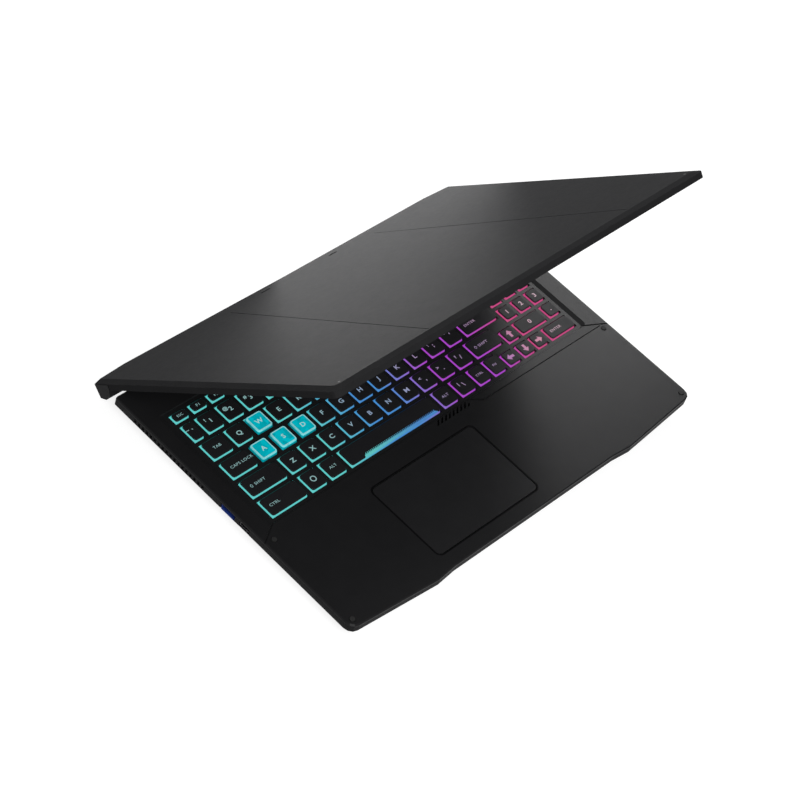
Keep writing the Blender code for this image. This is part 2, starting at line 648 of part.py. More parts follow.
def key_places():
    """Every key's left edge, front edge, width and depth, by the block that it belongs to."""
    arrow_left = NUMPAD_LEFT - ARROW_GAP - 2 * ARROW_WIDTH - KEY_GAP
    arrows = lay(arrow_left, [ARROW_WIDTH, ARROW_WIDTH])
    arrow_front = main_row(0)
    up_left = arrows[1][0]

    function_width = (KEYS_WIDTH + KEY_GAP) / FUNCTION_KEY_COUNT - KEY_GAP
    function = lay(KEYS_LEFT, [function_width] * FUNCTION_KEY_COUNT)
    number = fill_row(KEYS_LEFT, [BACKTICK_WIDTH] + [STANDARD_KEY] * 12, MAIN_RIGHT)
    upper = fill_row(KEYS_LEFT, [TAB_WIDTH] + [STANDARD_KEY] * 12, MAIN_RIGHT)
    home = fill_row(KEYS_LEFT, [CAPS_WIDTH] + [STANDARD_KEY] * 11, MAIN_RIGHT)
    lower = fill_row(KEYS_LEFT, [SHIFT_WIDTH] + [STANDARD_KEY] * 10, up_left - KEY_GAP)
    left_part = [LEFT_CTRL_WIDTH, STANDARD_KEY, LEFT_ALT_WIDTH]
    right_part = [STANDARD_KEY, STANDARD_KEY, NARROW_KEY_WIDTH, NARROW_KEY_WIDTH]
    beside_space = sum(left_part) + sum(right_part) + 8 * KEY_GAP
    space_width = arrow_left - KEYS_LEFT - beside_space
    bottom = lay(KEYS_LEFT, left_part + [space_width] + right_part)
    columns = lay(NUMPAD_LEFT, [NUMPAD_KEY] * 3)
    double = 2 * NUMPAD_KEY + KEY_GAP

    pad = place_keys([(columns[1][0], double)], numpad_row(0), NUMPAD_KEY_DEPTH)
    pad += place_keys([(columns[0][0], double), columns[2]], numpad_row(1), NUMPAD_KEY_DEPTH)
    for row in range(2, 6):
        pad += place_keys(columns, numpad_row(row), NUMPAD_KEY_DEPTH)

    function_places = place_keys(function, main_row(5), FUNCTION_KEY_DEPTH)
    home_places = place_keys(home, main_row(2), KEY_DEPTH)
    upper_places = place_keys(upper, main_row(3), KEY_DEPTH)
    lower_places = place_keys(lower, main_row(1), KEY_DEPTH)
    bottom_places = place_keys(bottom, main_row(0), KEY_DEPTH)
    groups = {
        "function_keys": function_places[:-1],
        "number_keys": place_keys(number, main_row(4), KEY_DEPTH),
        "upper_letter_keys": upper_places[:2] + upper_places[3:],
        "home_letter_keys": home_places[4:-1],
        "lower_letter_keys": lower_places[1:],
        "bottom_keys": bottom_places[:3] + bottom_places[4:],
        "number_pad_keys": pad,
    }
    singles = {
        "power_button": function_places[-1],
        "enter_key": home_places[-1],
        "caps_lock_key": home_places[0],
        "left_shift_key": lower_places[0],
        "space_bar": bottom_places[3],
        "w_key": upper_places[2],
        "a_key": home_places[1],
        "s_key": home_places[2],
        "d_key": home_places[3],
        "left_arrow_key": (*arrows[0], NUMPAD_KEY_DEPTH),
        "down_arrow_key": (*arrows[1], NUMPAD_KEY_DEPTH),
        "right_arrow_key": (*columns[0], NUMPAD_KEY_DEPTH),
        "up_arrow_key": (*arrows[1], NUMPAD_KEY_DEPTH),
    }
    for name in ("left_arrow_key", "down_arrow_key", "right_arrow_key"):
        left, width, depth = singles[name]
        singles[name] = (left, arrow_front, width, depth)
    left, width, depth = singles["up_arrow_key"]
    singles["up_arrow_key"] = (left, numpad_row(1), width, depth)
    return groups, singles


# ---- Keys: pieces --------------------------------------------------------

CLEAR_KEYS = ("w_key", "a_key", "s_key", "d_key")


def cap_ring(place, origin, inset, z):
    """A cap's outline at one height: a rectangle with its corners cut, about the piece's origin."""
    left, front, width, depth = place
    x0, x1 = left + inset - origin[0], left + width - inset - origin[0]
    y0, y1 = front + inset - origin[1], front + depth - inset - origin[1]
    c = KEY_CORNER
    outline = [(x0 + c, y0), (x1 - c, y0), (x1, y0 + c), (x1, y1 - c)]
    outline += [(x1 - c, y1), (x0 + c, y1), (x0, y1 - c), (x0, y0 + c)]
    return level(outline, z)


def caps(name, places, origin):
    bm = bmesh.new()
    for place in places:
        add_loft(
            bm,
            [
                cap_ring(place, origin, 0.0, KEY_BOTTOM - DECK_Z),
                cap_ring(place, origin, KEY_TAPER, KEY_RISE),
            ],
        )
    return mesh_object(name, bm)


def comb(name, places, origin):
    """The hidden comb behind a row: a rail with one tooth reaching under each cap."""
    rear = places[0][1] + places[0][3] - origin[1]
    near, far = rear + SEAT_GAP, rear + SEAT_GAP + COMB_RAIL
    last = places[-1][0] + places[-1][2] - origin[0]
    low_z, high_z = COMB_BOTTOM - DECK_Z, COMB_TOP - DECK_Z
    rail = box(name, (0.0, near, low_z), (last, far, high_z))
    pairs = []
    for left, _, width, _ in places:
        middle = left + width / 2 - origin[0]
        tooth = min(COMB_TOOTH, width - 2 * KEY_CORNER) / 2
        low = (middle - tooth, rear - COMB_TOOTH_REACH, low_z + 0.1 * MM)
        high = (middle + tooth, near + COMB_RAIL / 2, high_z - 0.1 * MM)
        pairs.append((low, high))
    return rail, boxes(name + "_teeth", pairs)


def pad_web_outline(places, origin):
    """The hidden web under the number pad, which leaves the right arrow key's corner free."""
    enter = places[0]
    left = NUMPAD_LEFT + COMB_WEB_MARGIN - origin[0]
    right = KEYS_RIGHT - COMB_WEB_MARGIN - origin[0]
    inner = enter[0] + COMB_WEB_MARGIN - origin[0]
    front = enter[1] + COMB_WEB_MARGIN - origin[1]
    step = numpad_row(1) + COMB_WEB_MARGIN - origin[1]
    rear = numpad_row(5) + NUMPAD_KEY_DEPTH - COMB_WEB_MARGIN - origin[1]
    return [(inner, front), (right, front), (right, rear), (left, rear), (left, step), (inner, step)]


def make_key_group(name, places, material):
    """Caps that share one hidden comb or web, so that the block is one piece."""
    origin = (places[0][0], places[0][1])
    heads = caps(name + "_caps", places, origin)
    heads.location = (*origin, DECK_Z)
    if name == "number_pad_keys":
        body = plate(name, pad_web_outline(places, origin), COMB_BOTTOM - DECK_Z, COMB_TOP - DECK_Z)
        body.data.transform(Matrix.Translation((0, 0, body.location.z)))
        body.location = heads.location
        finish(body, name, material)
    else:
        body, teeth = comb(name, places, origin)
        body.location = teeth.location = heads.location
        finish(body, name, material)
        join(body, teeth)
    join(body, heads)


def make_single_key(name, place, material):
    left, front, width, depth = place
    origin = (left + width / 2, front + depth / 2)
    key = caps(name, [place], origin)
    key.location = (*origin, DECK_Z)
    finish(key, name, material)


def make_keys(groups, singles):
    black = new_material("key_black", (0.03, 0.03, 0.034), 0.5)
    cyan = new_material("key_cyan", (0.0, 0.5, 0.56), 0.25, emission=0.4)
    for name, places in groups.items():
        make_key_group(name, places, black)
    for name, place in singles.items():
        make_single_key(name, place, cyan if name in CLEAR_KEYS else black)


# ---- Base: shells --------------------------------------------------------


def key_holes(groups, singles):
    places = [place for block in groups.values() for place in block] + list(singles.values())
    c = KEY_CLEARANCE
    pairs = []
    for left, front, width, depth in places:
        low = (left - c, front - c, DECK_UNDERSIDE - 1 * MM)
        high = (left + width + c, front + depth + c, DECK_Z + 1 * MM)
        pairs.append((low, high))
    return boxes("key_holes", pairs)


def keyboard_well():
    """The shallow recess around the keys, its side walls sloping gently outwards."""
    rings = []
    for flare, z in ((0.0, WELL_Z), (1.0, DECK_Z), (1.0, DECK_Z + 1 * MM)):
        side = WELL_MARGIN + flare * WELL_SIDE_FLARE
        end = WELL_MARGIN + flare * WELL_FLARE
        outline = rounded_rectangle(
            KEYS_LEFT - side,
            KEYS_RIGHT + side,
            y_at(KEYS_FRONT) - end,
            y_at(KEYS_FRONT + KEYS_DEPTH) + end,
            WELL_CORNER_RADIUS,
        )
        rings.append(level(outline, z))
    return loft("keyboard_well", rings)


def pad_opening(clearance):
    left = PAD_CENTRE_X - PAD_WIDTH / 2 - clearance
    front = y_at(PAD_FROM_FRONT) - clearance
    return rounded_rectangle(
        left,
        left + PAD_WIDTH + 2 * clearance,
        front,
        front + PAD_DEPTH + 2 * clearance,
        PAD_CORNER_RADIUS + clearance,
    )


def deck_slots():
    """A row of slanted slots behind the touchpad, the last one short."""
    bm = bmesh.new()
    lengths = [SLOT_LENGTH] * (SLOT_COUNT - 1) + [SLOT_LAST_LENGTH]
    front = y_at(SLOT_FROM_FRONT)
    for i, length in enumerate(lengths):
        x = SLOT_FIRST_X + i * SLOT_STEP
        lean = length * SLOT_SLANT
        w = SLOT_WIDTH / 2
        outline = [(x - w, front), (x + w, front)]
        outline += [(x + w + lean, front + length), (x - w + lean, front + length)]
        add_loft(bm, [level(outline, DECK_UNDERSIDE - 1 * MM), level(outline, DECK_Z + 1 * MM)])
    return mesh_object("deck_slots", bm)


def crease(start, end, width, top, depth):
    """A shallow straight groove between two points of a flat face at one height."""
    a, b = Vector(start), Vector(end)
    along = (b - a).normalized()
    side = Vector((-along.y, along.x)) * width / 2
    flat = [(point.x, point.y) for point in (a - side, b - side, b + side, a + side)]
    return [level(flat, top - depth), level(flat, top + 1 * MM)]


def deck_creases():
    """The palm rest's border lines: two to the side edges, and one with a jog at its start."""
    edge = BASE_WIDTH / 2 + 1 * MM
    front = y_at(KEYS_FRONT) - WELL_MARGIN
    palm = y_at(BUMPER_REAR_LINE) + CREASE_BEHIND_BUMPER
    left = KEYS_LEFT - WELL_MARGIN + CREASE_INSET
    right = KEYS_RIGHT + WELL_MARGIN - CREASE_INSET
    turn = (PAD_CENTRE_X + CREASE_TURN_FROM_PAD, palm)
    lines = [
        ((left, front + CREASE_INSET), (-edge, palm - CREASE_SIDE_DROP)),
        ((right, front + CREASE_INSET), (edge, palm - CREASE_SIDE_DROP)),
        (turn, (BASE_WIDTH / 2 - CREASE_END_MARGIN, palm)),
        ((PAD_CENTRE_X + CREASE_START_FROM_PAD, front + CREASE_INSET / 2), turn),
    ]
    grooves = []
    for start, end in lines:
        rings = crease(start, end, CREASE_WIDTH, DECK_Z, CREASE_DEPTH)
        grooves.append(loft("deck_crease", rings))
    return grooves


def bumper_centres():
    return {
        "deck_bumper_front_left": (-BUMPER_FRONT_X, y_at(BUMPER_FRONT_LINE)),
        "deck_bumper_front_right": (BUMPER_FRONT_X, y_at(BUMPER_FRONT_LINE)),
        "deck_bumper_rear_left": (-BUMPER_REAR_X, y_at(BUMPER_REAR_LINE)),
        "deck_bumper_rear_right": (BUMPER_REAR_X, y_at(BUMPER_REAR_LINE)),
    }


def bumper_pockets():
    floor = DECK_Z - BUMPER_SINK - SEAT_GAP
    height = DECK_Z + 1 * MM - floor
    centres = [(x, y, floor + height / 2) for x, y in bumper_centres().values()]
    return rods("bumper_pockets", BUMPER_RADIUS + SEAT_GAP, height, centres, segments=16)


def make_top_case(groups, singles, material):
    shell = loft(
        "top_case",
        [
            level(base_outline(0.0, 0.0, 0.0), DECK_UNDERSIDE),
            level(base_outline(0.0, 0.0, 0.0), DECK_Z - DECK_EDGE_CHAMFER),
            level(base_outline(DECK_EDGE_CHAMFER, DECK_EDGE_CHAMFER, 0.0), DECK_Z),
        ],
    )
    finish(shell, "top_case", material)
    pad = plate("pad_hole", pad_opening(PAD_CLEARANCE), DECK_UNDERSIDE - 1 * MM, DECK_Z + 1 * MM)
    cut(shell, keyboard_well())
    cut(shell, key_holes(groups, singles))
    cut(shell, pad)
    cut(shell, deck_slots())
    cut(shell, bumper_pockets())
    for groove in deck_creases():
        cut(shell, groove)


def shell_rings(wall, bottom, top):
    """The bottom cover's skin, drawn in by a wall: a flat floor, slanted sides and an upright rim."""
    floor_inset = (SIDE_UNDERCUT + wall, FRONT_UNDERCUT + wall, BACK_UNDERCUT + wall)
    return [
        level(base_outline(*floor_inset), bottom),
        level(base_outline(wall, wall, wall), KNEE_Z),
        level(base_outline(wall, wall, wall), top),
    ]


def side_vents():
    """Upright slots in the left wall beside the fan's heat sink."""
    pairs = []
    top = RIM_Z - SIDE_VENT_BELOW_RIM
    for i in range(SIDE_VENT_COUNT):
        y = y_at(SIDE_VENT_FIRST + i * SIDE_VENT_STEP)
        low = (-BASE_WIDTH / 2 - 1 * MM, y - SIDE_VENT_WIDTH / 2, top - SIDE_VENT_HEIGHT)
        high = (-BASE_WIDTH / 2 + 3 * MM, y + SIDE_VENT_WIDTH / 2, top)
        pairs.append((low, high))
    return boxes("side_vents", pairs)


def rear_vents():
    """Upright slots in the back wall behind both fans."""
    back = y_at(BASE_DEPTH)
    middle = (FLOOR_Z + KNEE_Z) / 2
    pairs = []
    for side in (-1, 1):
        for i in range(REAR_VENT_COUNT):
            x = side * (FAN_X - REAR_VENT_INBOARD) + (i - (REAR_VENT_COUNT - 1) / 2) * REAR_VENT_STEP
            low = (x - REAR_VENT_WIDTH / 2, back - 6 * MM, middle - REAR_VENT_HEIGHT / 2)
            high = (x + REAR_VENT_WIDTH / 2, back + 1 * MM, middle + REAR_VENT_HEIGHT / 2)
            pairs.append((low, high))
    return boxes("rear_vents", pairs)


def floor_vents():
    """Intake slots under both fans, longest across the middle of the fan."""
    pairs = []
    for side in (-1, 1):
        for i in range(FLOOR_VENT_COUNT):
            offset = (i - (FLOOR_VENT_COUNT - 1) / 2) * FLOOR_VENT_STEP
            reach = math.sqrt(FAN_BLADE_RADIUS**2 - offset**2)
            y = y_at(FAN_FROM_FRONT) + offset
            low = (side * FAN_X - reach, y - FLOOR_VENT_WIDTH / 2, 0.0)
            high = (side * FAN_X + reach, y + FLOOR_VENT_WIDTH / 2, FLOOR_Z + 0.2 * MM)
            pairs.append((low, high))
    return boxes("floor_vents", pairs)


def hinge_arm_span(side):
    """Lowest and highest X of the base knuckle and its arm on one side."""
    outer, inner = side * HINGE_OUTER_X, side * (HINGE_OUTER_X - HINGE_ARM_WIDTH)
    return min(outer, inner), max(outer, inner)


def hinge_notches():
    """Gaps in the back wall's rim that the hinge arms pass through."""
    pairs = []
    for side in (-1, 1):
        low_x, high_x = hinge_arm_span(side)
        bottom = RIM_Z - HINGE_ARM_THICKNESS - SEAT_GAP
        low = (low_x - SEAT_GAP, y_at(BASE_DEPTH) - 4 * MM, bottom)
        high = (high_x + SEAT_GAP, y_at(BASE_DEPTH) + 1 * MM, RIM_Z + 1 * MM)
        pairs.append((low, high))
    return boxes("hinge_notches", pairs)


def socket_list():
    """Each socket's side, distance from the back edge and mouth size."""
    return {
        "left_usb_port": (-1, LEFT_USB_FROM_BACK, USB_A_MOUTH),
        "left_media_port": (-1, LEFT_MEDIA_FROM_BACK, USB_C_MOUTH),
        "right_usb_port": (1, RIGHT_USB_FROM_BACK, USB_A_MOUTH),
        "right_usb_c_port": (1, RIGHT_USB_C_FROM_BACK, USB_C_MOUTH),
        "right_hdmi_port": (1, RIGHT_HDMI_FROM_BACK, HDMI_MOUTH),
        "right_lan_port": (1, RIGHT_LAN_FROM_BACK, LAN_MOUTH),
    }


def socket_body(mouth):
    """Outer width and height of a socket's shell."""
    return mouth[0] + 2 * SOCKET_SHELL, mouth[1] + 2 * SOCKET_SHELL


def socket_notches():
    """Gaps in the side walls, open at the rim, that the sockets' shells stand in."""
    places = [(side, y, socket_body(mouth)) for side, y, mouth in socket_list().values()]
    places.append((1, RIGHT_POWER_FROM_BACK, POWER_BODY[:2]))
    pairs = []
    for side, from_back, (width, height) in places:
        y = y_at(BASE_DEPTH - from_back)
        near, far = side * (BASE_WIDTH / 2 - 10 * MM), side * (BASE_WIDTH / 2 + 1 * MM)
        half = width / 2 + SEAT_GAP
        low = (min(near, far), y - half, SOCKET_TOP - height - SEAT_GAP)
        high = (max(near, far), y + half, RIM_Z + 1 * MM)
        pairs.append((low, high))
    return boxes("socket_notches", pairs)


def foot_spans():
    """Each foot's lowest and highest X and its centre line from the front edge."""
    half = FRONT_FOOT_LENGTH / 2
    return {
        "front_left_foot": (-FRONT_FOOT_X - half, -FRONT_FOOT_X + half, FRONT_FOOT_LINE),
        "front_right_foot": (FRONT_FOOT_X - half, FRONT_FOOT_X + half, FRONT_FOOT_LINE),
        "rear_foot": (-REAR_FOOT_LENGTH / 2, REAR_FOOT_LENGTH / 2, REAR_FOOT_LINE),
    }


def foot_pockets():
    pairs = []
    for low_x, high_x, line in foot_spans().values():
        half = FOOT_WIDTH / 2 + SEAT_GAP
        low = (low_x - SEAT_GAP, y_at(line) - half, 0.0)
        high = (high_x + SEAT_GAP, y_at(line) + half, FOOT_HEIGHT + FOOT_RECESS)
        pairs.append((low, high))
    return boxes("foot_pockets", pairs)


def board_bosses():
    """Stand-offs under the motherboard."""
    wide = BOARD_WIDTH / 2 - BOSS_SIDE_MARGIN
    neck = BOARD_NECK_WIDTH / 2 - BOSS_NECK_MARGIN
    xs = (-wide, -neck, neck, wide)
    top = FLOOR_Z + BOARD_LIFT
    length = BOARD_LIFT + SHELL_WALL / 2
    front = y_at(BOARD_FRONT + BOSS_FRONT_MARGIN)
    rear = y_at(BOARD_REAR - BOSS_REAR_MARGIN)
    centres = [(x, front, top - length / 2) for x in xs]
    centres += [(x, rear, top - length / 2) for x in xs[1:3]]
    return rods("board_bosses", BOSS_RADIUS, length, centres, segments=12)


def make_bottom_cover(material):
    shell = loft("bottom_cover", shell_rings(0.0, FOOT_HEIGHT, RIM_Z))
    finish(shell, "bottom_cover", material)
    inner = shell_rings(SHELL_WALL, FLOOR_Z, RIM_Z + 1 * MM)
    cut(shell, loft("cover_inside", inner))
    cut(shell, side_vents())
    cut(shell, rear_vents())
    cut(shell, floor_vents())
    cut(shell, hinge_notches())
    cut(shell, socket_notches())
    cut(shell, foot_pockets())
    join(shell, board_bosses())


def make_feet(material):
    for name, (low_x, high_x, line) in foot_spans().items():
        half = FOOT_WIDTH / 2
        outline = rounded_rectangle(low_x, high_x, y_at(line) - half, y_at(line) + half, FOOT_END_RADIUS)
        foot = plate(name, outline, 0.0, FOOT_HEIGHT + FOOT_RECESS - SEAT_GAP)
        finish(foot, name, material)


def make_bumpers(material):
    height = BUMPER_SINK + BUMPER_RISE
    for name, (x, y) in bumper_centres().items():
        centre = (x, y, DECK_Z + BUMPER_RISE - height / 2)
        bumper = rods(name, BUMPER_RADIUS, height, [(0, 0, 0)], segments=16)
        bumper.location = centre
        finish(bumper, name, material)


def make_touchpad(material):
    """The clickable pad, with its origin on its pivot line along the rear edge."""
    pivot = Vector((PAD_CENTRE_X, y_at(PAD_FROM_FRONT) + PAD_DEPTH, DECK_Z - PAD_SINK - PAD_THICKNESS / 2))
    top = DECK_Z - PAD_SINK
    pad = plate("touchpad", pad_opening(0.0), top - PAD_THICKNESS, top)
    pad.data.transform(Matrix.Translation(pad.location - pivot))
    pad.location = pivot
    finish(pad, "touchpad", material)


def make_keyboard_tray(material):
    """The shallow metal tray under the keys, hung from the deck by its rim."""
    m = KEYBOARD_TRAY_MARGIN
    x0, x1 = KEYS_LEFT - m, KEYS_RIGHT + m
    y0, y1 = y_at(KEYS_FRONT) - m, y_at(KEYS_FRONT + KEYS_DEPTH) + m
    tray = box(
        "keyboard_tray", (x0, y0, TRAY_FLOOR_TOP - KEYBOARD_TRAY_FLOOR), (x1, y1, DECK_UNDERSIDE - SEAT_GAP)
    )
    finish(tray, "keyboard_tray", material)
    r = KEYBOARD_TRAY_RIM
    cut(tray, box("tray_inside", (x0 + r, y0 + r, TRAY_FLOOR_TOP), (x1 - r, y1 - r, DECK_Z)))


# ---- Base: sockets -------------------------------------------------------


def make_socket(name, side, from_back, mouth, material):
    """A metal shell with its mouth in the side wall and a contact tongue inside."""
    width, height = socket_body(mouth)
    depth = mouth[2]
    face = side * (BASE_WIDTH / 2 - SOCKET_RECESS)
    back = face - side * depth
    y = y_at(BASE_DEPTH - from_back)
    bottom = SOCKET_TOP - height
    low_x, high_x = min(face, back), max(face, back)
    shell = box(name, (low_x, y - width / 2, bottom), (high_x, y + width / 2, SOCKET_TOP))
    finish(shell, name, material)
    mouth_end = face + side * 1 * MM
    mouth_back = back + side * 2 * MM
    half = mouth[0] / 2
    base = bottom + SOCKET_SHELL
    ceiling = SOCKET_TOP - SOCKET_SHELL
    low = (min(mouth_end, mouth_back), y - half, base)
    high = (max(mouth_end, mouth_back), y + half, ceiling)
    cut(shell, box(name + "_mouth", low, high))
    if mouth == LAN_MOUTH:
        return
    tongue_tip = face - side * TONGUE_SETBACK
    tongue_back = back + side * 1 * MM
    middle = (base + ceiling) / 2 + (USB_TONGUE_RAISE if mouth == USB_A_MOUTH else 0.0)
    thick = mouth[1] * TONGUE_HEIGHT_SHARE / 2
    reach = half * TONGUE_WIDTH_SHARE
    low = (min(tongue_tip, tongue_back), y - reach, middle - thick)
    high = (max(tongue_tip, tongue_back), y + reach, middle + thick)
    join(shell, box(name + "_tongue", low, high))


def make_power_inlet(material):
    """The round power socket with its centre pin, in the right wall near the hinge."""
    width, height, depth = POWER_BODY
    face = BASE_WIDTH / 2 - SOCKET_RECESS
    y = y_at(BASE_DEPTH - RIGHT_POWER_FROM_BACK)
    z = SOCKET_TOP - height / 2
    low = (face - depth, y - width / 2, z - height / 2)
    high = (face, y + width / 2, z + height / 2)
    inlet = box("power_inlet", low, high)
    finish(inlet, "power_inlet", material)
    cut(inlet, rods("inlet_well", POWER_MOUTH_RADIUS, POWER_WELL * 2, [(face, y, z)], "X", 20))
    pin_length = POWER_WELL - 0.5 * MM
    centre = (face - POWER_WELL + pin_length / 2 - 1 * MM, y, z)
    join(inlet, rods("inlet_pin", POWER_PIN_RADIUS, pin_length, [centre], "X", 12))


# ---- Base: inside --------------------------------------------------------


def board_outline():
    wide, neck = BOARD_WIDTH / 2, BOARD_NECK_WIDTH / 2
    front, shoulder, rear = y_at(BOARD_FRONT), y_at(BOARD_SHOULDER), y_at(BOARD_REAR)
    right = [(wide, front), (wide, shoulder), (neck, shoulder), (neck, rear)]
    return right + [(-x, y) for x, y in reversed(right)]


def make_motherboard(material):
    board = plate("motherboard", board_outline(), BOARD_BOTTOM, BOARD_TOP)
    finish(board, "motherboard", material)
    edge = BOARD_NECK_WIDTH / 2 - SMALL_CHIP_INSET
    chips = [(x, 0.0, half) for x, half in MAIN_CHIPS]
    chips += [(x, behind, SMALL_CHIP) for x, behind in SMALL_CHIPS_MIDDLE]
    chips += [(side * edge, behind, SMALL_CHIP) for side, behind in SMALL_CHIPS_EDGE]
    pairs = []
    for x, behind, half in chips:
        y = y_at(CHIP_FROM_FRONT + behind)
        low = (x - half, y - half, BOARD_TOP - CHIP_SINK)
        pairs.append((low, (x + half, y + half, CHIP_TOP)))
    join(board, boxes("board_chips", pairs))


def place_block(name, size, centre_x, from_front, bottom, material):
    half_x, half_y, height = size[0] / 2, size[1] / 2, size[2]
    y = y_at(from_front)
    low = (centre_x - half_x, y - half_y, bottom)
    high = (centre_x + half_x, y + half_y, bottom + height)
    return finish(box(name, low, high), name, material)


def add_bevel(obj, width):
    bevel = obj.modifiers.new("edges", "BEVEL")
    bevel.width = width
    bevel.segments = 1
    bevel.limit_method = "ANGLE"


def make_battery(material):
    size = (BATTERY_WIDTH, BATTERY_DEPTH, BATTERY_HEIGHT)
    middle = BATTERY_FROM_FRONT + BATTERY_DEPTH / 2
    battery = place_block("battery_pack", size, 0.0, middle, FLOOR_Z + SEAT_GAP, material)
    add_bevel(battery, BATTERY_EDGE)


def make_speakers(material):
    for name, side in (("left_speaker", -1), ("right_speaker", 1)):
        bottom = FLOOR_Z + SEAT_GAP
        speaker = place_block(name, SPEAKER_SIZE, side * SPEAKER_X, SPEAKER_FROM_FRONT, bottom, material)
        add_bevel(speaker, SPEAKER_EDGE)


def make_cards(material):
    bottom = BOARD_TOP + SEAT_GAP
    ssd_x = -BOARD_WIDTH / 2 + SSD_FROM_BOARD_SIDE
    ssd_from_front = BOARD_FRONT + SSD_FROM_BOARD_FRONT
    place_block("storage_drive", SSD_SIZE, ssd_x, ssd_from_front, bottom, material)
    memory_from_front = BOARD_FRONT + MEMORY_FROM_BOARD_FRONT
    place_block("memory_module", MEMORY_SIZE, MEMORY_X, memory_from_front, bottom, material)


def make_fan(side, names, material, rotor_material):
    """A blower: a square housing open at its top and outer side, and the rotor on its post."""
    centre = Vector((side * FAN_X, y_at(FAN_FROM_FRONT), FAN_BOTTOM))
    half = FAN_SIZE / 2
    low = (centre.x - half, centre.y - half, FAN_BOTTOM)
    high = (centre.x + half, centre.y + half, FAN_BOTTOM + FAN_HEIGHT)
    housing = box(names[0], low, high)
    finish(housing, names[0], material)
    inside = FAN_HEIGHT - FAN_FLOOR + 1 * MM
    middle = (centre.x, centre.y, FAN_BOTTOM + FAN_FLOOR + inside / 2)
    cut(housing, rods(names[0] + "_cavity", FAN_CAVITY_RADIUS, inside, [middle], segments=32))
    outlet_edge = centre.x + side * (half + 1 * MM)
    span = half - FAN_OUTLET_POST
    low = (min(centre.x, outlet_edge), centre.y - span, FAN_BOTTOM + FAN_FLOOR)
    high = (max(centre.x, outlet_edge), centre.y + span, FAN_BOTTOM + FAN_HEIGHT - FAN_ROOF_GAP)
    cut(housing, box(names[0] + "_outlet", low, high))
    inlets = []
    for i in range(FAN_INLET_COUNT):
        turn = 2 * math.pi * i / FAN_INLET_COUNT
        arm = Vector((math.cos(turn), math.sin(turn), 0.0)) * FAN_INLET_FROM_POST
        inlets.append(centre + arm)
    cut(housing, rods(names[0] + "_inlets", FAN_INLET_RADIUS, FAN_FLOOR * 4, inlets, segments=12))
    post_length = FAN_HEIGHT - FAN_ROOF_GAP
    post = (centre.x, centre.y, FAN_BOTTOM + FAN_FLOOR / 2 + post_length / 2)
    join(housing, rods(names[0] + "_post", FAN_POST_RADIUS, post_length, [post], segments=16))
    make_rotor(names[1], centre, rotor_material)


def make_rotor(name, centre, material):
    """The fan's wheel: a bored hub with flat blades, its origin on the post's axis."""
    bottom = FAN_FLOOR + FAN_ROTOR_LIFT
    height = FAN_HEIGHT - bottom - FAN_ROOF_GAP
    rotor = rods(name, FAN_HUB_RADIUS, height, [(0, 0, height / 2)], segments=24)
    rotor.location = (centre.x, centre.y, centre.z + bottom)
    finish(rotor, name, material)
    bm = bmesh.new()
    inner = FAN_HUB_RADIUS - 1 * MM
    for i in range(FAN_BLADE_COUNT):
        turn = Matrix.Rotation(2 * math.pi * i / FAN_BLADE_COUNT, 4, "Z")
        lean = Matrix.Rotation(FAN_BLADE_LEAN, 4, "Z")
        reach = (FAN_BLADE_RADIUS - inner) / 2
        size = Matrix.Diagonal((reach * 2, FAN_BLADE_THICKNESS, height - 2 * FAN_BLADE_INSET, 1.0))
        place = turn @ Matrix.Translation((inner, 0, height / 2)) @ lean
        place = place @ Matrix.Translation((reach, 0, 0)) @ size
        bmesh.ops.create_cube(bm, size=1.0, matrix=place)
    blades = mesh_object(name + "_blades", bm)
    blades.location = rotor.location
    join(rotor, blades)
    bore = rods(name + "_bore", FAN_POST_RADIUS + FAN_POST_CLEARANCE, height * 3, [(0, 0, 0)], segments=16)
    bore.location = rotor.location
    cut(rotor, bore)


def heatsink_x(side):
    """Lowest and highest X of the fin block between a fan and its side wall."""
    inner = side * (FAN_X + FAN_SIZE / 2 + SEAT_GAP)
    outer = inner + side * HEATSINK_WIDTH
    return min(inner, outer), max(inner, outer)


def make_heatsink(name, side, material):
    """A block of upright fins that the fan blows through."""
    low_x, high_x = heatsink_x(side)
    half = FAN_SIZE / 2 - FAN_OUTLET_POST
    y = y_at(FAN_FROM_FRONT)
    fins = box(name, (low_x, y - half, FAN_BOTTOM), (high_x, y + half, CHIP_TOP))
    finish(fins, name, material)
    pitch = (2 * half - HEATSINK_FIN) / (HEATSINK_FIN_COUNT - 1)
    pairs = []
    for i in range(HEATSINK_FIN_COUNT - 1):
        start = y - half + HEATSINK_FIN + i * pitch
        low = (low_x - 1 * MM, start, FAN_BOTTOM + HEATSINK_BASE)
        high = (high_x + 1 * MM, start + pitch - HEATSINK_FIN, CHIP_TOP + 1 * MM)
        pairs.append((low, high))
    cut(fins, boxes(name + "_gaps", pairs))


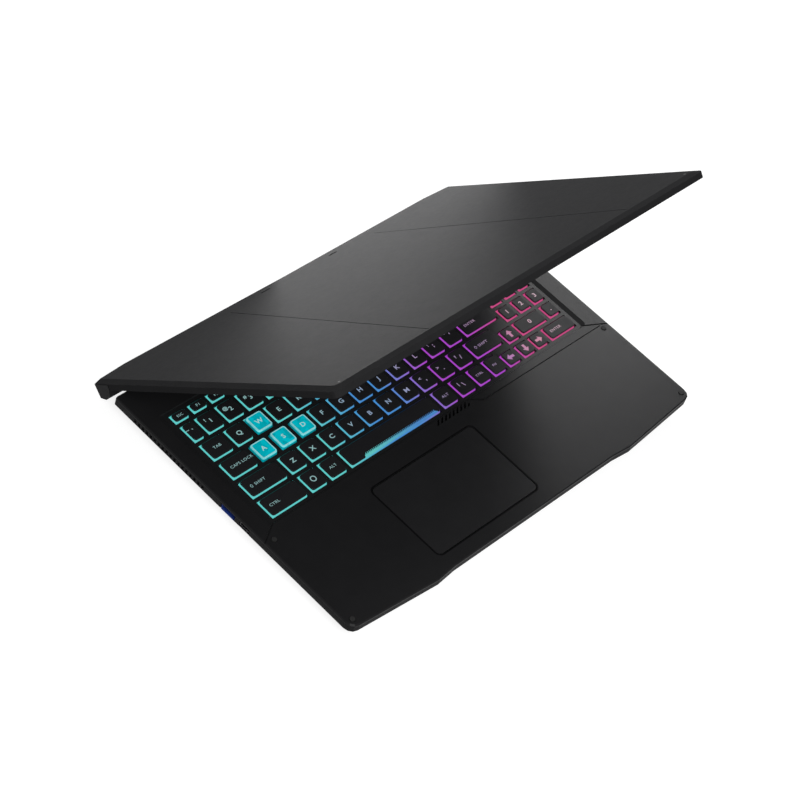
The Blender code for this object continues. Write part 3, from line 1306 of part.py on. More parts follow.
def make_heat_pipe(material):
    """One pipe from the left fins across both chips to the right fins, bent round the fans."""
    z = CHIP_TOP + SEAT_GAP + PIPE_RADIUS
    end_x = heatsink_x(1)[0] + HEATSINK_WIDTH / 2
    fan_front = FAN_FROM_FRONT - FAN_SIZE / 2
    lane = fan_front - PIPE_RADIUS - PIPE_FAN_CLEARANCE
    right = [(PIPE_STRAIGHT_X, CHIP_FROM_FRONT), (BOARD_NECK_WIDTH / 2 - PIPE_FROM_NECK, lane)]
    right += [(end_x - PIPE_BEND, lane), (end_x, lane + PIPE_BEND)]
    right.append((end_x, FAN_FROM_FRONT + PIPE_END_PAST_FAN_AXIS))
    points = [(-x, y) for x, y in reversed(right)] + right
    curve = bpy.data.curves.new("heat_pipe", "CURVE")
    curve.dimensions = "3D"
    curve.bevel_depth = PIPE_RADIUS
    curve.bevel_resolution = 2
    curve.use_fill_caps = True
    spline = curve.splines.new("POLY")
    spline.points.add(len(points) - 1)
    for point, (x, from_front) in zip(spline.points, points):
        point.co = (x, y_at(from_front), z, 1.0)
    pipe = bpy.data.objects.new("heat_pipe", curve)
    bpy.context.scene.collection.objects.link(pipe)
    finish(pipe, "heat_pipe", material)


# ---- Hinges --------------------------------------------------------------


def barrel(name, low_x, high_x, radius, segments=24):
    length = high_x - low_x
    return rods(name, radius, length, [((low_x + high_x) / 2, 0, 0)], "X", segments)


def make_hinge_bracket(name, side, material):
    """The base half: a plate under the deck, an arm through the back wall, a knuckle and its pin."""
    low_x, high_x = hinge_arm_span(side)
    top = RIM_Z - HINGE_Z
    body = barrel(name, low_x, high_x, HINGE_BARREL_RADIUS)
    body.location = (0, HINGE_Y, HINGE_Z)
    finish(body, name, material)
    plate_front = -HINGE_BEHIND_BASE - SHELL_WALL - 1.0 * MM - HINGE_BRACKET_LENGTH
    arm = box(name + "_arm", (low_x, plate_front, top - HINGE_ARM_THICKNESS), (high_x, 0.0, top))
    arm.location = body.location
    join(body, arm)
    wide_low = min(low_x, side * HINGE_INNER_X)
    wide_high = max(high_x, side * HINGE_INNER_X)
    plate_rear = -HINGE_BEHIND_BASE - SHELL_WALL - 1.0 * MM
    low = (wide_low, plate_front + 0.2 * MM, top - HINGE_PLATE_THICKNESS)
    flange = box(name + "_plate", low, (wide_high, plate_rear, top - 0.2 * MM))
    flange.location = body.location
    join(body, flange)
    pin_tip = side * (HINGE_INNER_X + 1.0 * MM)
    pin_low = min(pin_tip, low_x + 2 * MM)
    pin_high = max(pin_tip, high_x - 2 * MM)
    pin = barrel(name + "_pin", pin_low, pin_high, HINGE_PIN_RADIUS, 16)
    pin.location = body.location
    join(body, pin)


def leaf_span(side):
    """Lowest and highest X of the lid's knuckle, beside the base's."""
    outer = side * (HINGE_OUTER_X - HINGE_ARM_WIDTH - SEAT_GAP)
    inner = outer - side * HINGE_KNUCKLE_LENGTH
    return min(outer, inner), max(outer, inner)


def make_hinge_leaf(name, side, pivot, material):
    """The lid half: a bored knuckle on the pin, a web up into the lid and a long leaf."""
    low_x, high_x = leaf_span(side)
    body = barrel(name, low_x, high_x, HINGE_BARREL_RADIUS)
    finish(body, name, material, pivot)
    leaf_bottom = BEZEL_TOP + SEAT_GAP
    leaf_top = leaf_bottom + HINGE_PLATE_THICKNESS
    rear = HINGE_BARREL_RADIUS - 0.2 * MM
    web = box(name + "_web", (low_x, rear - 2.4 * MM, 0.0), (high_x, rear, leaf_top))
    join(body, web)
    leaf_low = (low_x, -HINGE_LEAF_LENGTH, leaf_bottom)
    join(body, box(name + "_leaf", leaf_low, (high_x, rear - 1.0 * MM, leaf_top - 0.1 * MM)))
    bore_radius = HINGE_PIN_RADIUS + HINGE_PIN_CLEARANCE
    bore = barrel(name + "_bore", low_x - 2 * MM, high_x + 2 * MM, bore_radius, 24)
    cut(body, bore)


def cover_section(x, rear_top):
    """The hinge cover's outline across the bar: forward is -Y and up is +Z, about the hinge axis."""
    top = LID_TOP - LID_REAR_PLATE - SEAT_GAP
    section = [
        (-rear_top, top),
        (-rear_top + COVER_LIP[0], top - COVER_LIP[1]),
        COVER_REAR_FOOT,
        (COVER_LOWEST_LINE, -COVER_BOTTOM),
        COVER_FRONT_FOOT,
        (COVER_FRONT, LID_UNDERSIDE),
        (COVER_FRONT, top),
    ]
    return [(x, -forward, up) for forward, up in section]


def trough_section(x):
    """The outline of the hollow inside the hinge cover, open at the top."""
    above = LID_TOP + 1 * MM
    section = [
        (COVER_TROUGH_REAR[0], above),
        COVER_TROUGH_REAR,
        COVER_TROUGH_REAR_FOOT,
        COVER_TROUGH_FRONT_FOOT,
        COVER_TROUGH_FRONT,
        (COVER_TROUGH_FRONT[0], above),
    ]
    return [(x, -forward, up) for forward, up in section]


def make_hinge_cover(pivot, material):
    half = LID_WIDTH / 2
    stations = [
        (-half, COVER_REAR_CORNER),
        (-COVER_SHOULDER_X, COVER_REAR_SHOULDER),
        (0.0, COVER_REAR_MIDDLE),
        (COVER_SHOULDER_X, COVER_REAR_SHOULDER),
        (half, COVER_REAR_CORNER),
    ]
    cover = loft("hinge_cover", [cover_section(x, rear) for x, rear in stations])
    finish(cover, "hinge_cover", material, pivot)
    ends = half - COVER_END_WALL
    cut(cover, loft("cover_trough", [trough_section(-ends), trough_section(ends)]))
    low, high = -2 * COVER_REAR_SHOULDER, 2 * COVER_REAR_SHOULDER
    notches, lower = [], []
    for side in (-1, 1):
        outer = side * (HINGE_OUTER_X + SEAT_GAP + COVER_NOTCH_CLEARANCE)
        inner = side * (HINGE_INNER_X - COVER_NOTCH_CLEARANCE)
        left, right = min(outer, inner), max(outer, inner)
        notches.append(((left, low, low), (right, COVER_NOTCH_REAR, high)))
        lower.append(((left, low, low), (right, high, 0.5 * MM)))
    cut(cover, boxes("cover_notches", notches))
    cut(cover, boxes("cover_lower_notches", lower))


# ---- Lid -----------------------------------------------------------------


def make_lid_cover(pivot, material):
    """The lid's outer shell: a flat back with a sloped border and a rim round three sides."""
    edge = LID_TOP - LID_BORDER_DROP
    shell = loft(
        "lid_cover",
        [
            level(lid_outline(0.0, 0.0, 0.0), LID_UNDERSIDE),
            level(lid_outline(0.0, 0.0, 0.0), edge),
            level(lid_outline(LID_BORDER, LID_BORDER, LID_REAR_SLOPE), LID_TOP),
        ],
    )
    finish(shell, "lid_cover", material, pivot)
    half = LID_WIDTH / 2
    inside = rounded_rectangle(
        -half + LID_WALL, half - LID_WALL, -LID_REACH + LID_WALL, 0.0, LID_CORNER_RADIUS - LID_WALL
    )
    cut(shell, loft("lid_inside", [level(inside, 0.0), level(inside, LID_TOP - LID_PLATE)]))
    rear = box(
        "lid_rear_gap",
        (-half - 1 * MM, -LID_REAR_ZONE, -1 * MM),
        (half + 1 * MM, 20 * MM, LID_TOP - LID_REAR_PLATE),
    )
    cut(shell, rear)
    bm = bmesh.new()
    for rear_x, front_x in LID_CREASE_XS:
        start = (rear_x, -LID_CREASE_REAR)
        end = (front_x, -LID_REACH + LID_CREASE_FRONT_MARGIN)
        add_loft(bm, crease(start, end, LID_CREASE_WIDTH, LID_TOP, LID_CREASE_DEPTH))
    cut(shell, mesh_object("lid_creases", bm))
    pairs = []
    for x in LID_MARK_XS:
        low = (x - LID_MARK_LENGTH / 2, -LID_MARK_WIDTH, LID_TOP - LID_MARK_DEPTH)
        pairs.append((low, (x + LID_MARK_LENGTH / 2, 0.0, LID_TOP + 1 * MM)))
    cut(shell, boxes("lid_marks", pairs))


def bezel_outline(inset):
    half = LID_WIDTH / 2 - LID_WALL - SEAT_GAP - inset
    front = -LID_REACH + LID_WALL + SEAT_GAP + inset
    return rounded_rectangle(-half, half, front, -LID_REAR_ZONE - SEAT_GAP, 1.8 * MM)


def camera_place():
    return (0.0, -LID_REACH + SCREEN_TOP_MARGIN / 2 + LID_WALL / 2)


def make_bezel(pivot, material):
    bezel = plate("screen_bezel", bezel_outline(0.0), LID_UNDERSIDE, BEZEL_TOP)
    finish(bezel, "screen_bezel", material, pivot)
    half = SCREEN_WIDTH / 2
    rear = -SCREEN_BOTTOM_MARGIN
    window = (
        (-half, rear - SCREEN_HEIGHT, LID_UNDERSIDE - 1 * MM),
        (half, rear, BEZEL_TOP + 1 * MM),
    )
    cut(bezel, box("screen_window", *window))
    x, y = camera_place()
    hole = WEBCAM_LENS_RADIUS + WEBCAM_LENS_CLEARANCE
    cut(bezel, rods("camera_hole", hole, BEZEL_TOP * 4, [(x, y, 0.0)], segments=20))


def make_display_panel(pivot, material):
    half = PANEL_WIDTH / 2
    rear = -SCREEN_BOTTOM_MARGIN + PANEL_BORDER_BELOW
    front = -SCREEN_BOTTOM_MARGIN - SCREEN_HEIGHT - PANEL_BORDER_ABOVE
    low = (-half, front, PANEL_BOTTOM)
    panel = box("display_panel", low, (half, rear, PANEL_BOTTOM + PANEL_THICKNESS))
    finish(panel, "display_panel", material, pivot)


def make_camera(pivot, material):
    """The webcam: a narrow board above the screen with its lens in the bezel's hole."""
    x, y = camera_place()
    half_x, half_y = WEBCAM_BOARD[0] / 2, WEBCAM_BOARD[1] / 2
    low = (x - half_x, y - half_y, PANEL_BOTTOM)
    high = (x + half_x, y + half_y, PANEL_BOTTOM + WEBCAM_BOARD[2])
    board = box("webcam_module", low, high)
    finish(board, "webcam_module", material, pivot)
    bottom = LID_UNDERSIDE + WEBCAM_LENS_RECESS
    length = PANEL_BOTTOM + WEBCAM_BOARD[2] / 2 - bottom
    join(board, rods("camera_lens", WEBCAM_LENS_RADIUS, length, [(x, y, bottom + length / 2)], segments=20))


# ---- The whole laptop ----------------------------------------------------


def make_base():
    casing = new_material("case_black", (0.035, 0.035, 0.038), 0.45)
    rubber = new_material("rubber_black", (0.02, 0.02, 0.02), 0.8)
    metal = new_material("bare_metal", (0.55, 0.56, 0.58), 0.35, 1.0)
    copper = new_material("copper", (0.72, 0.42, 0.26), 0.3, 1.0)
    board = new_material("circuit_board", (0.02, 0.06, 0.03), 0.5)
    plastic = new_material("inner_plastic", (0.05, 0.05, 0.055), 0.55)
    blue = new_material("socket_blue", (0.03, 0.12, 0.5), 0.4)
    pad = new_material("touchpad_black", (0.028, 0.028, 0.03), 0.35)
    groups, singles = key_places()
    make_top_case(groups, singles, casing)
    make_bottom_cover(casing)
    make_keys(groups, singles)
    make_keyboard_tray(metal)
    make_touchpad(pad)
    make_feet(rubber)
    make_bumpers(rubber)
    for name, (side, from_back, mouth) in socket_list().items():
        make_socket(name, side, from_back, mouth, blue if name == "left_usb_port" else metal)
    make_power_inlet(plastic)
    make_motherboard(board)
    make_battery(plastic)
    make_speakers(plastic)
    make_cards(board)
    make_fan(-1, ("left_fan_housing", "left_fan_rotor"), metal, plastic)
    make_fan(1, ("right_fan_housing", "right_fan_rotor"), metal, plastic)
    make_heatsink("left_heatsink", -1, copper)
    make_heatsink("right_heatsink", 1, copper)
    make_heat_pipe(copper)
    make_hinge_bracket("left_hinge_bracket", -1, metal)
    make_hinge_bracket("right_hinge_bracket", 1, metal)


def make_lid():
    pivot = bpy.data.objects.new("lid_pivot", None)
    LAPTOP.objects.link(pivot)
    pivot.location = (0.0, HINGE_Y, HINGE_Z)
    pivot.rotation_euler = (-REST_ANGLE, 0.0, 0.0)
    casing = new_material("lid_black", (0.05, 0.05, 0.052), 0.4)
    inner = new_material("bezel_black", (0.02, 0.02, 0.022), 0.6)
    glass = new_material("screen_black", (0.01, 0.01, 0.012), 0.2)
    metal = new_material("hinge_metal", (0.5, 0.5, 0.52), 0.35, 1.0)
    make_lid_cover(pivot, casing)
    make_hinge_cover(pivot, casing)
    make_bezel(pivot, inner)
    make_display_panel(pivot, glass)
    make_camera(pivot, inner)
    make_hinge_leaf("left_hinge_leaf", -1, pivot, metal)
    make_hinge_leaf("right_hinge_leaf", 1, pivot, metal)


make_base()
make_lid()
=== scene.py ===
import json
import math

import bmesh
import bpy
from bpy.props import FloatProperty, FloatVectorProperty, PointerProperty
from bpy.types import Operator, Panel, PropertyGroup
from mathutils import Matrix, Vector


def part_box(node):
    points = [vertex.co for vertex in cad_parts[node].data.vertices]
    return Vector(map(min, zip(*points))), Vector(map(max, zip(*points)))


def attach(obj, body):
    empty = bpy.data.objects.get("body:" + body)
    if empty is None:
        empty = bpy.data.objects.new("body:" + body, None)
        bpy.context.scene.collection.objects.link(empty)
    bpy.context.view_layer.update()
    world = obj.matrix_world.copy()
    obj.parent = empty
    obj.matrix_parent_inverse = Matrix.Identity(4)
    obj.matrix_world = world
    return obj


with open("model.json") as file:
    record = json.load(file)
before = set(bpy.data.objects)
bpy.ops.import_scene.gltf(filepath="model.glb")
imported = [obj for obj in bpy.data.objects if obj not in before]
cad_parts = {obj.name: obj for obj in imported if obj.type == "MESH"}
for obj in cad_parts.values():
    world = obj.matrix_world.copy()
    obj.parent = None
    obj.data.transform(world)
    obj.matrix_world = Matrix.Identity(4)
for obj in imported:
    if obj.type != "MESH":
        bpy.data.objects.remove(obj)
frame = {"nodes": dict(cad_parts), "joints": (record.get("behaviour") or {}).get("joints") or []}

bl_info = {
    "name": "Gaming Laptop Finish",
    "version": (1, 0, 0),
    "blender": (4, 5, 0),
    "location": "3D View > Sidebar > Laptop",
    "description": "Dresses the laptop's case, lid, lit keys and sockets, and sets its studio",
    "category": "Object",
}

MM = 0.001
DEG = math.pi / 180.0

# Places read from the frame
UNDERSIDE_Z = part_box("bottom_cover")[0][2]
LID_JOINT = next(joint for joint in frame["joints"] if joint["name"] == "lid_hinge")
HINGE = Vector(LID_JOINT["pos_m"])
REST_ANGLE = math.radians(-LID_JOINT["range_deg"][0])
LID_FRAME = Matrix.Translation(HINGE) @ Matrix.Rotation(-REST_ANGLE, 4, "X")
FACING_DOWN = Matrix.Rotation(math.pi, 4, "X")

# Key caps: how the black skin wraps each cap's flat top
SKIN_RINGS = (
    # outward of the top, above the top
    (0.30 * MM, -0.95 * MM),
    (0.10 * MM, -0.10 * MM),
    (-0.02 * MM, 0.03 * MM),
    (-0.35 * MM, 0.05 * MM),
    (-1.60 * MM, 0.02 * MM),
)
SKIN_CORNER = 1.5 * MM
CAP_TOP_TOLERANCE = 0.05 * MM

# Legends: thin raised shapes over the skin
LEGEND_LIFT = 0.03 * MM
LEGEND_THICKNESS = 0.03 * MM
LEGEND_STRETCH = 1.15
LETTER_BOLD = 0.09 * MM
LETTER_SPACING = 1.08
LETTER_CURVE_STEPS = 3

# Caps by size, and where the legends stand on them
SHALLOW_CAP = 8.0 * MM
LETTER_CAP = 12.0 * MM
WORD_CAP = 20.0 * MM
WORD_INSET = 3.2 * MM
SHIFT_MARK_INSET = 4.6 * MM
SHIFT_WORD_INSET = 7.4 * MM
UPPER_SIGN_PLACE = (-3.2 * MM, 2.0 * MM)
LOWER_SIGN_PLACE = 0.6 * MM
RING_MARK_WIDTH = 0.7 * MM
RING_MARK_PIECES = 20
POWER_RING_RADIUS = 1.7 * MM
POWER_RING_WIDTH = 0.45 * MM
POWER_RING_ARC = (120.0, 300.0)  # start and sweep in degrees
POWER_STROKE = (0.44 * MM, 2.0 * MM)
# The pale line round a clear key's top: its outer and inner edge
BORDER_INSETS = (0.3 * MM, 0.75 * MM)
BORDER_CORNER = 1.9 * MM

# The space bar's lit band and the ticks behind it
BAND_PROFILE = (
    # behind the top's front edge, above the top, in millimetres
    (-0.42, -0.95),
    (-0.14, 0.09),
    (1.40, 0.09),
    (1.40, 0.03),
    (0.00, 0.03),
    (-0.32, -0.95),
)
BAND_ENDS = (
    # share of the space bar's width, lean of the end in millimetres
    (0.14, 1.0),
    (0.97, -2.0),
)
TICK_COUNT = 44
TICK_MARGINS = (2.0 * MM, 3.0 * MM)
TICK_WIDTH = 0.6 * MM
TICK_LEAN = 0.3 * MM
TICK_REACH = (0.15 * MM, 1.15 * MM)

# Each key node's legends, in the order in which cap_tops gives its caps. "ring", "power" and the
# arrows' names stand for drawn marks.
KEY_WORDS = {
    "function_keys": "ESC F1 F2 F3 F4 F5 F6 F7 F8 F9 F10 F11 F12 PRT INS DEL PGUP PGDN".split(),
    "number_keys": "~` !1 @2 #3 $4 %5 ^6 &7 *8 (9 )0 _- += BACKSPACE".split(),
    "upper_letter_keys": "TAB Q E R T Y U I O P {[ }] |\\".split(),
    "home_letter_keys": "F G H J K L :; \"'".split(),
    "lower_letter_keys": "Z X C V B N M <, >. ?/ SHIFT".split(),
    "bottom_keys": "CTRL ring ALT ALT |\\ CTRL FN".split(),
    "number_pad_keys": "ENTER 0 . 1 2 3 4 5 6 7 8 9 NUM / *".split(),
    "power_button": ["power"],
    "enter_key": ["ENTER"],
    "caps_lock_key": ["CAPS LOCK"],
    "left_shift_key": ["SHIFT"],
    "space_bar": [""],
    "w_key": ["W"],
    "a_key": ["A"],
    "s_key": ["S"],
    "d_key": ["D"],
    "left_arrow_key": ["left"],
    "down_arrow_key": ["down"],
    "right_arrow_key": ["right"],
    "up_arrow_key": ["up"],
}
CLEAR_KEYS = ("w_key", "a_key", "s_key", "d_key")
ARROW_TURNS = {"right": 0.0, "up": 90.0, "left": 180.0, "down": 270.0}

# The near-black ring on the deck round the touchpad, painted shade for the gap round the pad: distance
# from the pad, height over the deck
PAD_CORNER_RADIUS = 3.6 * MM
PAD_GAP_SHADE_SECTION = (
    (0.6 * MM, 0.01 * MM),
    (1.6 * MM, 0.01 * MM),
    (1.6 * MM, 0.05 * MM),
    (0.6 * MM, 0.05 * MM),
)
# A spot of plain deck beside the touchpad: left of the pad, behind its front edge
DECK_SPOT = (2.0 * MM, 20.0 * MM)

SCREW_SIDE_MARGIN = 12.0 * MM
SCREW_SPOTS = (
    # share of the half width less the margin, share of the depth from the front
    (-0.90, 0.10),
    (0.0, 0.075),
    (0.90, 0.10),
    (-0.90, 0.50),
    (-0.28, 0.50),
    (0.28, 0.50),
    (0.90, 0.50),
    (-0.90, 0.84),
    (0.0, 0.84),
    (0.90, 0.84),
)
# Each screw's near-black disc, painted shade that stands in for its recess, and its head, as radius and
# height, and the arm, half width and depth of the cross in the head, whose dark colour is painted shade
# for its slot; the levels are measured from the cover's underside
SCREW_SHADE_DISC = (3.6 * MM, 0.15 * MM)
SCREW_HEAD = (2.7 * MM, 0.45 * MM)
SCREW_CROSS = (1.3 * MM, 0.3 * MM, 0.1 * MM)
SHADE_DISC_LEVEL, HEAD_LEVEL, CROSS_LEVEL = 0.05 * MM, -0.05 * MM, -0.45 * MM

# Small parts of the lid, measured from its sides and front edge
STOP_FROM_SIDE = 2.2 * MM
STOPS_FROM_FRONT = (12.5 * MM, 94.5 * MM)
STOP_HALF_SIZE = (0.9 * MM, 6.0 * MM)
STOP_CORNER = 0.8 * MM
STOP_HEIGHTS = (-0.3 * MM, 0.1 * MM)
LENS_RADIUS = 1.3 * MM
LENS_HEIGHT = 0.1 * MM
LENS_ABOVE_FRAME = 0.19 * MM
MICROPHONE_RADIUS = 0.5 * MM
MICROPHONE_HEIGHT = 0.06 * MM
MICROPHONE_ABOVE_FRAME = 0.02 * MM
MICROPHONE_FROM_LENS = 26.0 * MM
CORNER_MARK_INSET = (10.9 * MM, 7.8 * MM)
CORNER_MARK_RADIUS = 0.9 * MM
CORNER_MARK_HEIGHT = 0.05 * MM
CORNER_MARK_SUNK = 0.03 * MM

# Contacts on the sockets' tongues: how many, how far inside the mouth and how big
CONTACT_COUNTS = {
    "left_usb_port": 5,
    "right_usb_port": 5,
    "right_hdmi_port": 9,
    "right_usb_c_port": 7,
    "left_media_port": 6,
}
CONTACT_REACH = (1.6 * MM, 6.5 * MM)
CONTACT_HALF_WIDTH = 0.28 * MM
CONTACT_BELOW, CONTACT_ABOVE = 0.06 * MM, 0.04 * MM
CONTACT_SPREAD = 0.62
SHELL_WALLS = 1.0 * MM
TONGUE_DROP = 0.18
USB_TONGUE_DROP = 0.02 * MM

# Where the key light changes colour, as a share of the keyboard's width
GLOW_STOPS = (
    (0.24, "mint"),
    (0.38, "blue"),
    (0.46, "blue"),
    (0.60, "violet"),
    (0.74, "violet"),
    (0.86, "pink"),
)
# The space bar's band takes the colour of the keys this far to its left
BAND_GLOW_SHIFT = 22.0 * MM

# Each soft lamp: its place, the point it faces, its width and height, and its power's setting
LAMPS = {
    "side soft box": ((1.02, 0.42, 0.8), (0.1, 0.0, 0.05), (0.35, 0.35), "soft_box_power"),
    "front soft box": ((-0.6, -0.75, 1.0), (0.0, 0.0, 0.03), (0.6, 0.6), "front_lamp_power"),
    "floor panel": ((0.14, 0.31, 0.004), (0.14, 0.31, 1.0), (0.26, 0.36), "floor_panel_power"),
    "lid soft box": ((0.05, 0.33, 0.5), (-0.02, 0.04, 0.1), (0.2, 0.2), "lid_lamp_power"),
}
FLOOR_SIZE = 8.0
FLOOR_GREY = 0.3
FLOOR_GLOW = 0.82


def linear(red, green, blue):
    """A screen colour in 0 to 255 as Blender's linear colour."""
    values = []
    for channel in (red, green, blue):
        share = channel / 255
        values.append(share / 12.92 if share <= 0.04045 else ((share + 0.055) / 1.055) ** 2.4)
    return tuple(values)


# ---- Settings --------------------------------------------------------------


def size_property(name, description, default):
    """A length that a user may change."""
    return FloatProperty(
        name=name, description=description, default=default, min=0.0, subtype="DISTANCE", unit="LENGTH"
    )


def share_property(name, description, default, low=0.0):
    """A share of one that a user may change."""
    return FloatProperty(
        name=name, description=description, default=default, min=low, max=1.0, subtype="FACTOR"
    )


def colour_property(name, description, default):
    """A colour that a user may change."""
    return FloatVectorProperty(
        name=name, description=description, default=default, size=3, min=0.0, max=1.0, subtype="COLOR"
    )


class FinishSettings(PropertyGroup):
    case_colour: colour_property("Case", "Colour of the deck and the bottom cover", linear(30, 30, 31))
    lid_colour: colour_property("Lid", "Colour of the lid's outer face", linear(38, 38, 39))
    key_colour: colour_property("Keys", "Colour of the key tops", linear(32, 32, 34))
    pad_colour: colour_property("Touchpad", "Colour of the touchpad", linear(33, 33, 34))
    bezel_colour: colour_property("Bezel", "Colour of the frame round the screen", linear(22, 22, 23))
    rubber_colour: colour_property("Rubber", "Colour of the feet and bumpers", linear(20, 20, 20))
    case_roughness: share_property("Case Roughness", "How far the case scatters a reflection", 0.3, 0.05)
    lid_roughness: share_property("Lid Roughness", "How far the lid scatters a reflection", 0.42, 0.05)
    case_gloss: share_property("Case Gloss", "Strength of the case's reflection", 0.05)
    lid_gloss: share_property("Lid Gloss", "Strength of the lid's reflection", 0.004)


class LetteringSettings(PropertyGroup):
    letter: size_property("Letters", "Height of a single letter or digit", 5.0 * MM)
    upper_sign: size_property("Upper Signs", "Height of the upper sign of a pair", 3.6 * MM)
    lower_sign: size_property("Lower Signs", "Height of the lower sign of a pair", 4.8 * MM)
    word: size_property("Words", "Height of a word on a wide key", 3.1 * MM)
    narrow_word: size_property("Narrow Words", "Height of a word on a letter-sized key", 2.5 * MM)
    low_word: size_property("Low Words", "Height of a word on a shallow key", 2.6 * MM)
    low_sign: size_property("Low Signs", "Height of a sign on a shallow key", 3.2 * MM)
    arrow: size_property("Arrows", "Reach of an arrow from its middle", 3.6 * MM)
    ring: size_property("Ring", "Radius of the ring mark", 2.4 * MM)
    shift_mark: size_property("Shift Mark", "Size of the arrow beside the word on a shift key", 1.6 * MM)


class GlowSettings(PropertyGroup):
    mint: colour_property("Left Glow", "Key light at the left end", linear(88, 203, 199))
    blue: colour_property("Middle Glow", "Key light over the middle", linear(60, 135, 205))
    violet: colour_property("Right Glow", "Key light right of the middle", linear(165, 58, 195))
    pink: colour_property("Number Pad Glow", "Key light at the right end", linear(196, 62, 124))
    clear_key: colour_property("Clear Keys", "Colour of the four clear keys", linear(0, 165, 178))
    strength: FloatProperty(
        name="Glow Strength", description="Brightness of the key light", default=0.95, min=0.0, max=10.0
    )


def power_property(name, description, default):
    """A lamp's power that a user may change."""
    return FloatProperty(name=name, description=description, default=default, min=0.0, unit="POWER")


class StageSettings(PropertyGroup):
    camera_place: FloatVectorProperty(
        name="Camera Place",
        description="Where the camera stands",
        default=(-0.98359, -0.57117, 1.21779),
        subtype="TRANSLATION",
        unit="LENGTH",
    )
    camera_aim: FloatVectorProperty(
        name="Camera Aim",
        description="The point in the middle of the picture",
        default=(-0.04587, -0.02428, 0.06),
        subtype="TRANSLATION",
        unit="LENGTH",
    )
    camera_roll: FloatProperty(
        name="Camera Roll",
        description="Turn about the line of sight",
        default=19.543 * DEG,
        subtype="ANGLE",
        unit="ROTATION",
    )
    lens: FloatProperty(
        name="Lens",
        description="Focal length on a 36 mm sensor, in millimetres",
        default=106.18,
        min=10.0,
        unit="CAMERA",
    )
    room_light: FloatProperty(
        name="Room Light", description="Strength of the light from all around", default=0.35, min=0.0
    )
    soft_box_power: power_property("Side Lamp Power", "Power of the lamp at the right", 8.0)
    front_lamp_power: power_property("Front Lamp Power", "Power of the lamp at the front", 11.0)
    floor_panel_power: power_property("Floor Panel Power", "Power of the panel behind the lid", 1.8)
    lid_lamp_power: power_property("Lid Lamp Power", "Power of the lamp above the lid's rear", 0.6)


# ---- Materials -------------------------------------------------------------


def add_node(tree, kind, **settings):
    """Adds a shader node; a setting named as an input sets that input, any other its property."""
    node = tree.nodes.new(kind)
    for name, value in settings.items():
        label = name.replace("_", " ").title()
        if label in node.inputs:
            node.inputs[label].default_value = value
        else:
            setattr(node, name, value)
    return node


def start_material(name, colour, roughness, metallic=0.0, specular=0.5):
    """A new material's tree, its surface shader and its object coordinates."""
    material = bpy.data.materials.new(name)
    material.use_nodes = True
    tree = material.node_tree
    shader = tree.nodes["Principled BSDF"]
    shader.inputs["Base Color"].default_value = (*colour, 1.0)
    shader.inputs["Roughness"].default_value = roughness
    shader.inputs["Metallic"].default_value = metallic
    shader.inputs["Specular IOR Level"].default_value = specular
    material.diffuse_color = (*colour, 1.0)
    place = tree.nodes.new("ShaderNodeTexCoord").outputs["Object"]
    return material, tree, shader, place


def noise(tree, place, scale, detail=2.0):
    """Cloudy noise over the object's own coordinates."""
    node = add_node(tree, "ShaderNodeTexNoise", scale=scale, detail=detail, roughness=0.6)
    tree.links.new(place, node.inputs["Vector"])
    return node.outputs["Fac"]


def remap(tree, value, low, high, from_low=0.3, from_high=0.7):
    """Maps a value's range, by default that of the noise, onto another."""
    node = add_node(
        tree, "ShaderNodeMapRange", from_min=from_low, from_max=from_high, to_min=low, to_max=high
    )
    tree.links.new(value, node.inputs["Value"])
    return node.outputs["Result"]


def vary_colour(tree, shader, value, colour, share):
    """Lets the base colour drift up and down by a share of itself along a noise value."""
    ramp = tree.nodes.new("ShaderNodeValToRGB")
    ramp.color_ramp.elements[0].position = 0.3
    ramp.color_ramp.elements[0].color = (*[c * (1 - share) for c in colour], 1.0)
    ramp.color_ramp.elements[1].position = 0.7
    ramp.color_ramp.elements[1].color = (*[c * (1 + share) for c in colour], 1.0)
    tree.links.new(value, ramp.inputs["Fac"])
    tree.links.new(ramp.outputs["Color"], shader.inputs["Base Color"])


def bump(tree, shader, height, strength, distance):
    """Raises the surface's normal by a height value."""
    node = add_node(tree, "ShaderNodeBump", strength=strength, distance=distance)
    tree.links.new(height, node.inputs["Height"])
    tree.links.new(node.outputs["Normal"], shader.inputs["Normal"])


def moulded(name, colour, roughness, grain=2600.0, depth=0.02 * MM, drift=0.05, specular=0.5):
    """Fine-grained satin plastic or paint: an even grain and a slight drift of colour and polish."""
    material, tree, shader, place = start_material(name, colour, roughness, specular=specular)
    rough = remap(tree, noise(tree, place, 300.0, 3.0), roughness * 0.94, roughness * 1.06)
    tree.links.new(rough, shader.inputs["Roughness"])
    vary_colour(tree, shader, noise(tree, place, 70.0), colour, drift)
    bump(tree, shader, noise(tree, place, grain, 1.0), 0.35, depth)
    return material


def brushed_metal(name, colour, roughness, stretch=(40.0, 2200.0, 2200.0)):
    """Metal with fine marks that run along one direction."""
    material, tree, shader, place = start_material(name, colour, roughness, metallic=1.0)
    mapping = tree.nodes.new("ShaderNodeMapping")
    mapping.inputs["Scale"].default_value = stretch
    tree.links.new(place, mapping.inputs["Vector"])
    marks = noise(tree, mapping.outputs["Vector"], 1.0, 3.0)
    tree.links.new(remap(tree, marks, roughness * 0.7, roughness * 1.4), shader.inputs["Roughness"])
    vary_colour(tree, shader, noise(tree, place, 60.0), colour, 0.1)
    bump(tree, shader, marks, 0.2, 0.01 * MM)
    return material


def rubber(name, colour):
    """Dull rubber with a coarse grain."""
    material, tree, shader, place = start_material(name, colour, 0.78, specular=0.35)
    vary_colour(tree, shader, noise(tree, place, 180.0), colour, 0.2)
    bump(tree, shader, noise(tree, place, 3800.0, 2.0), 0.6, 0.03 * MM)
    return material


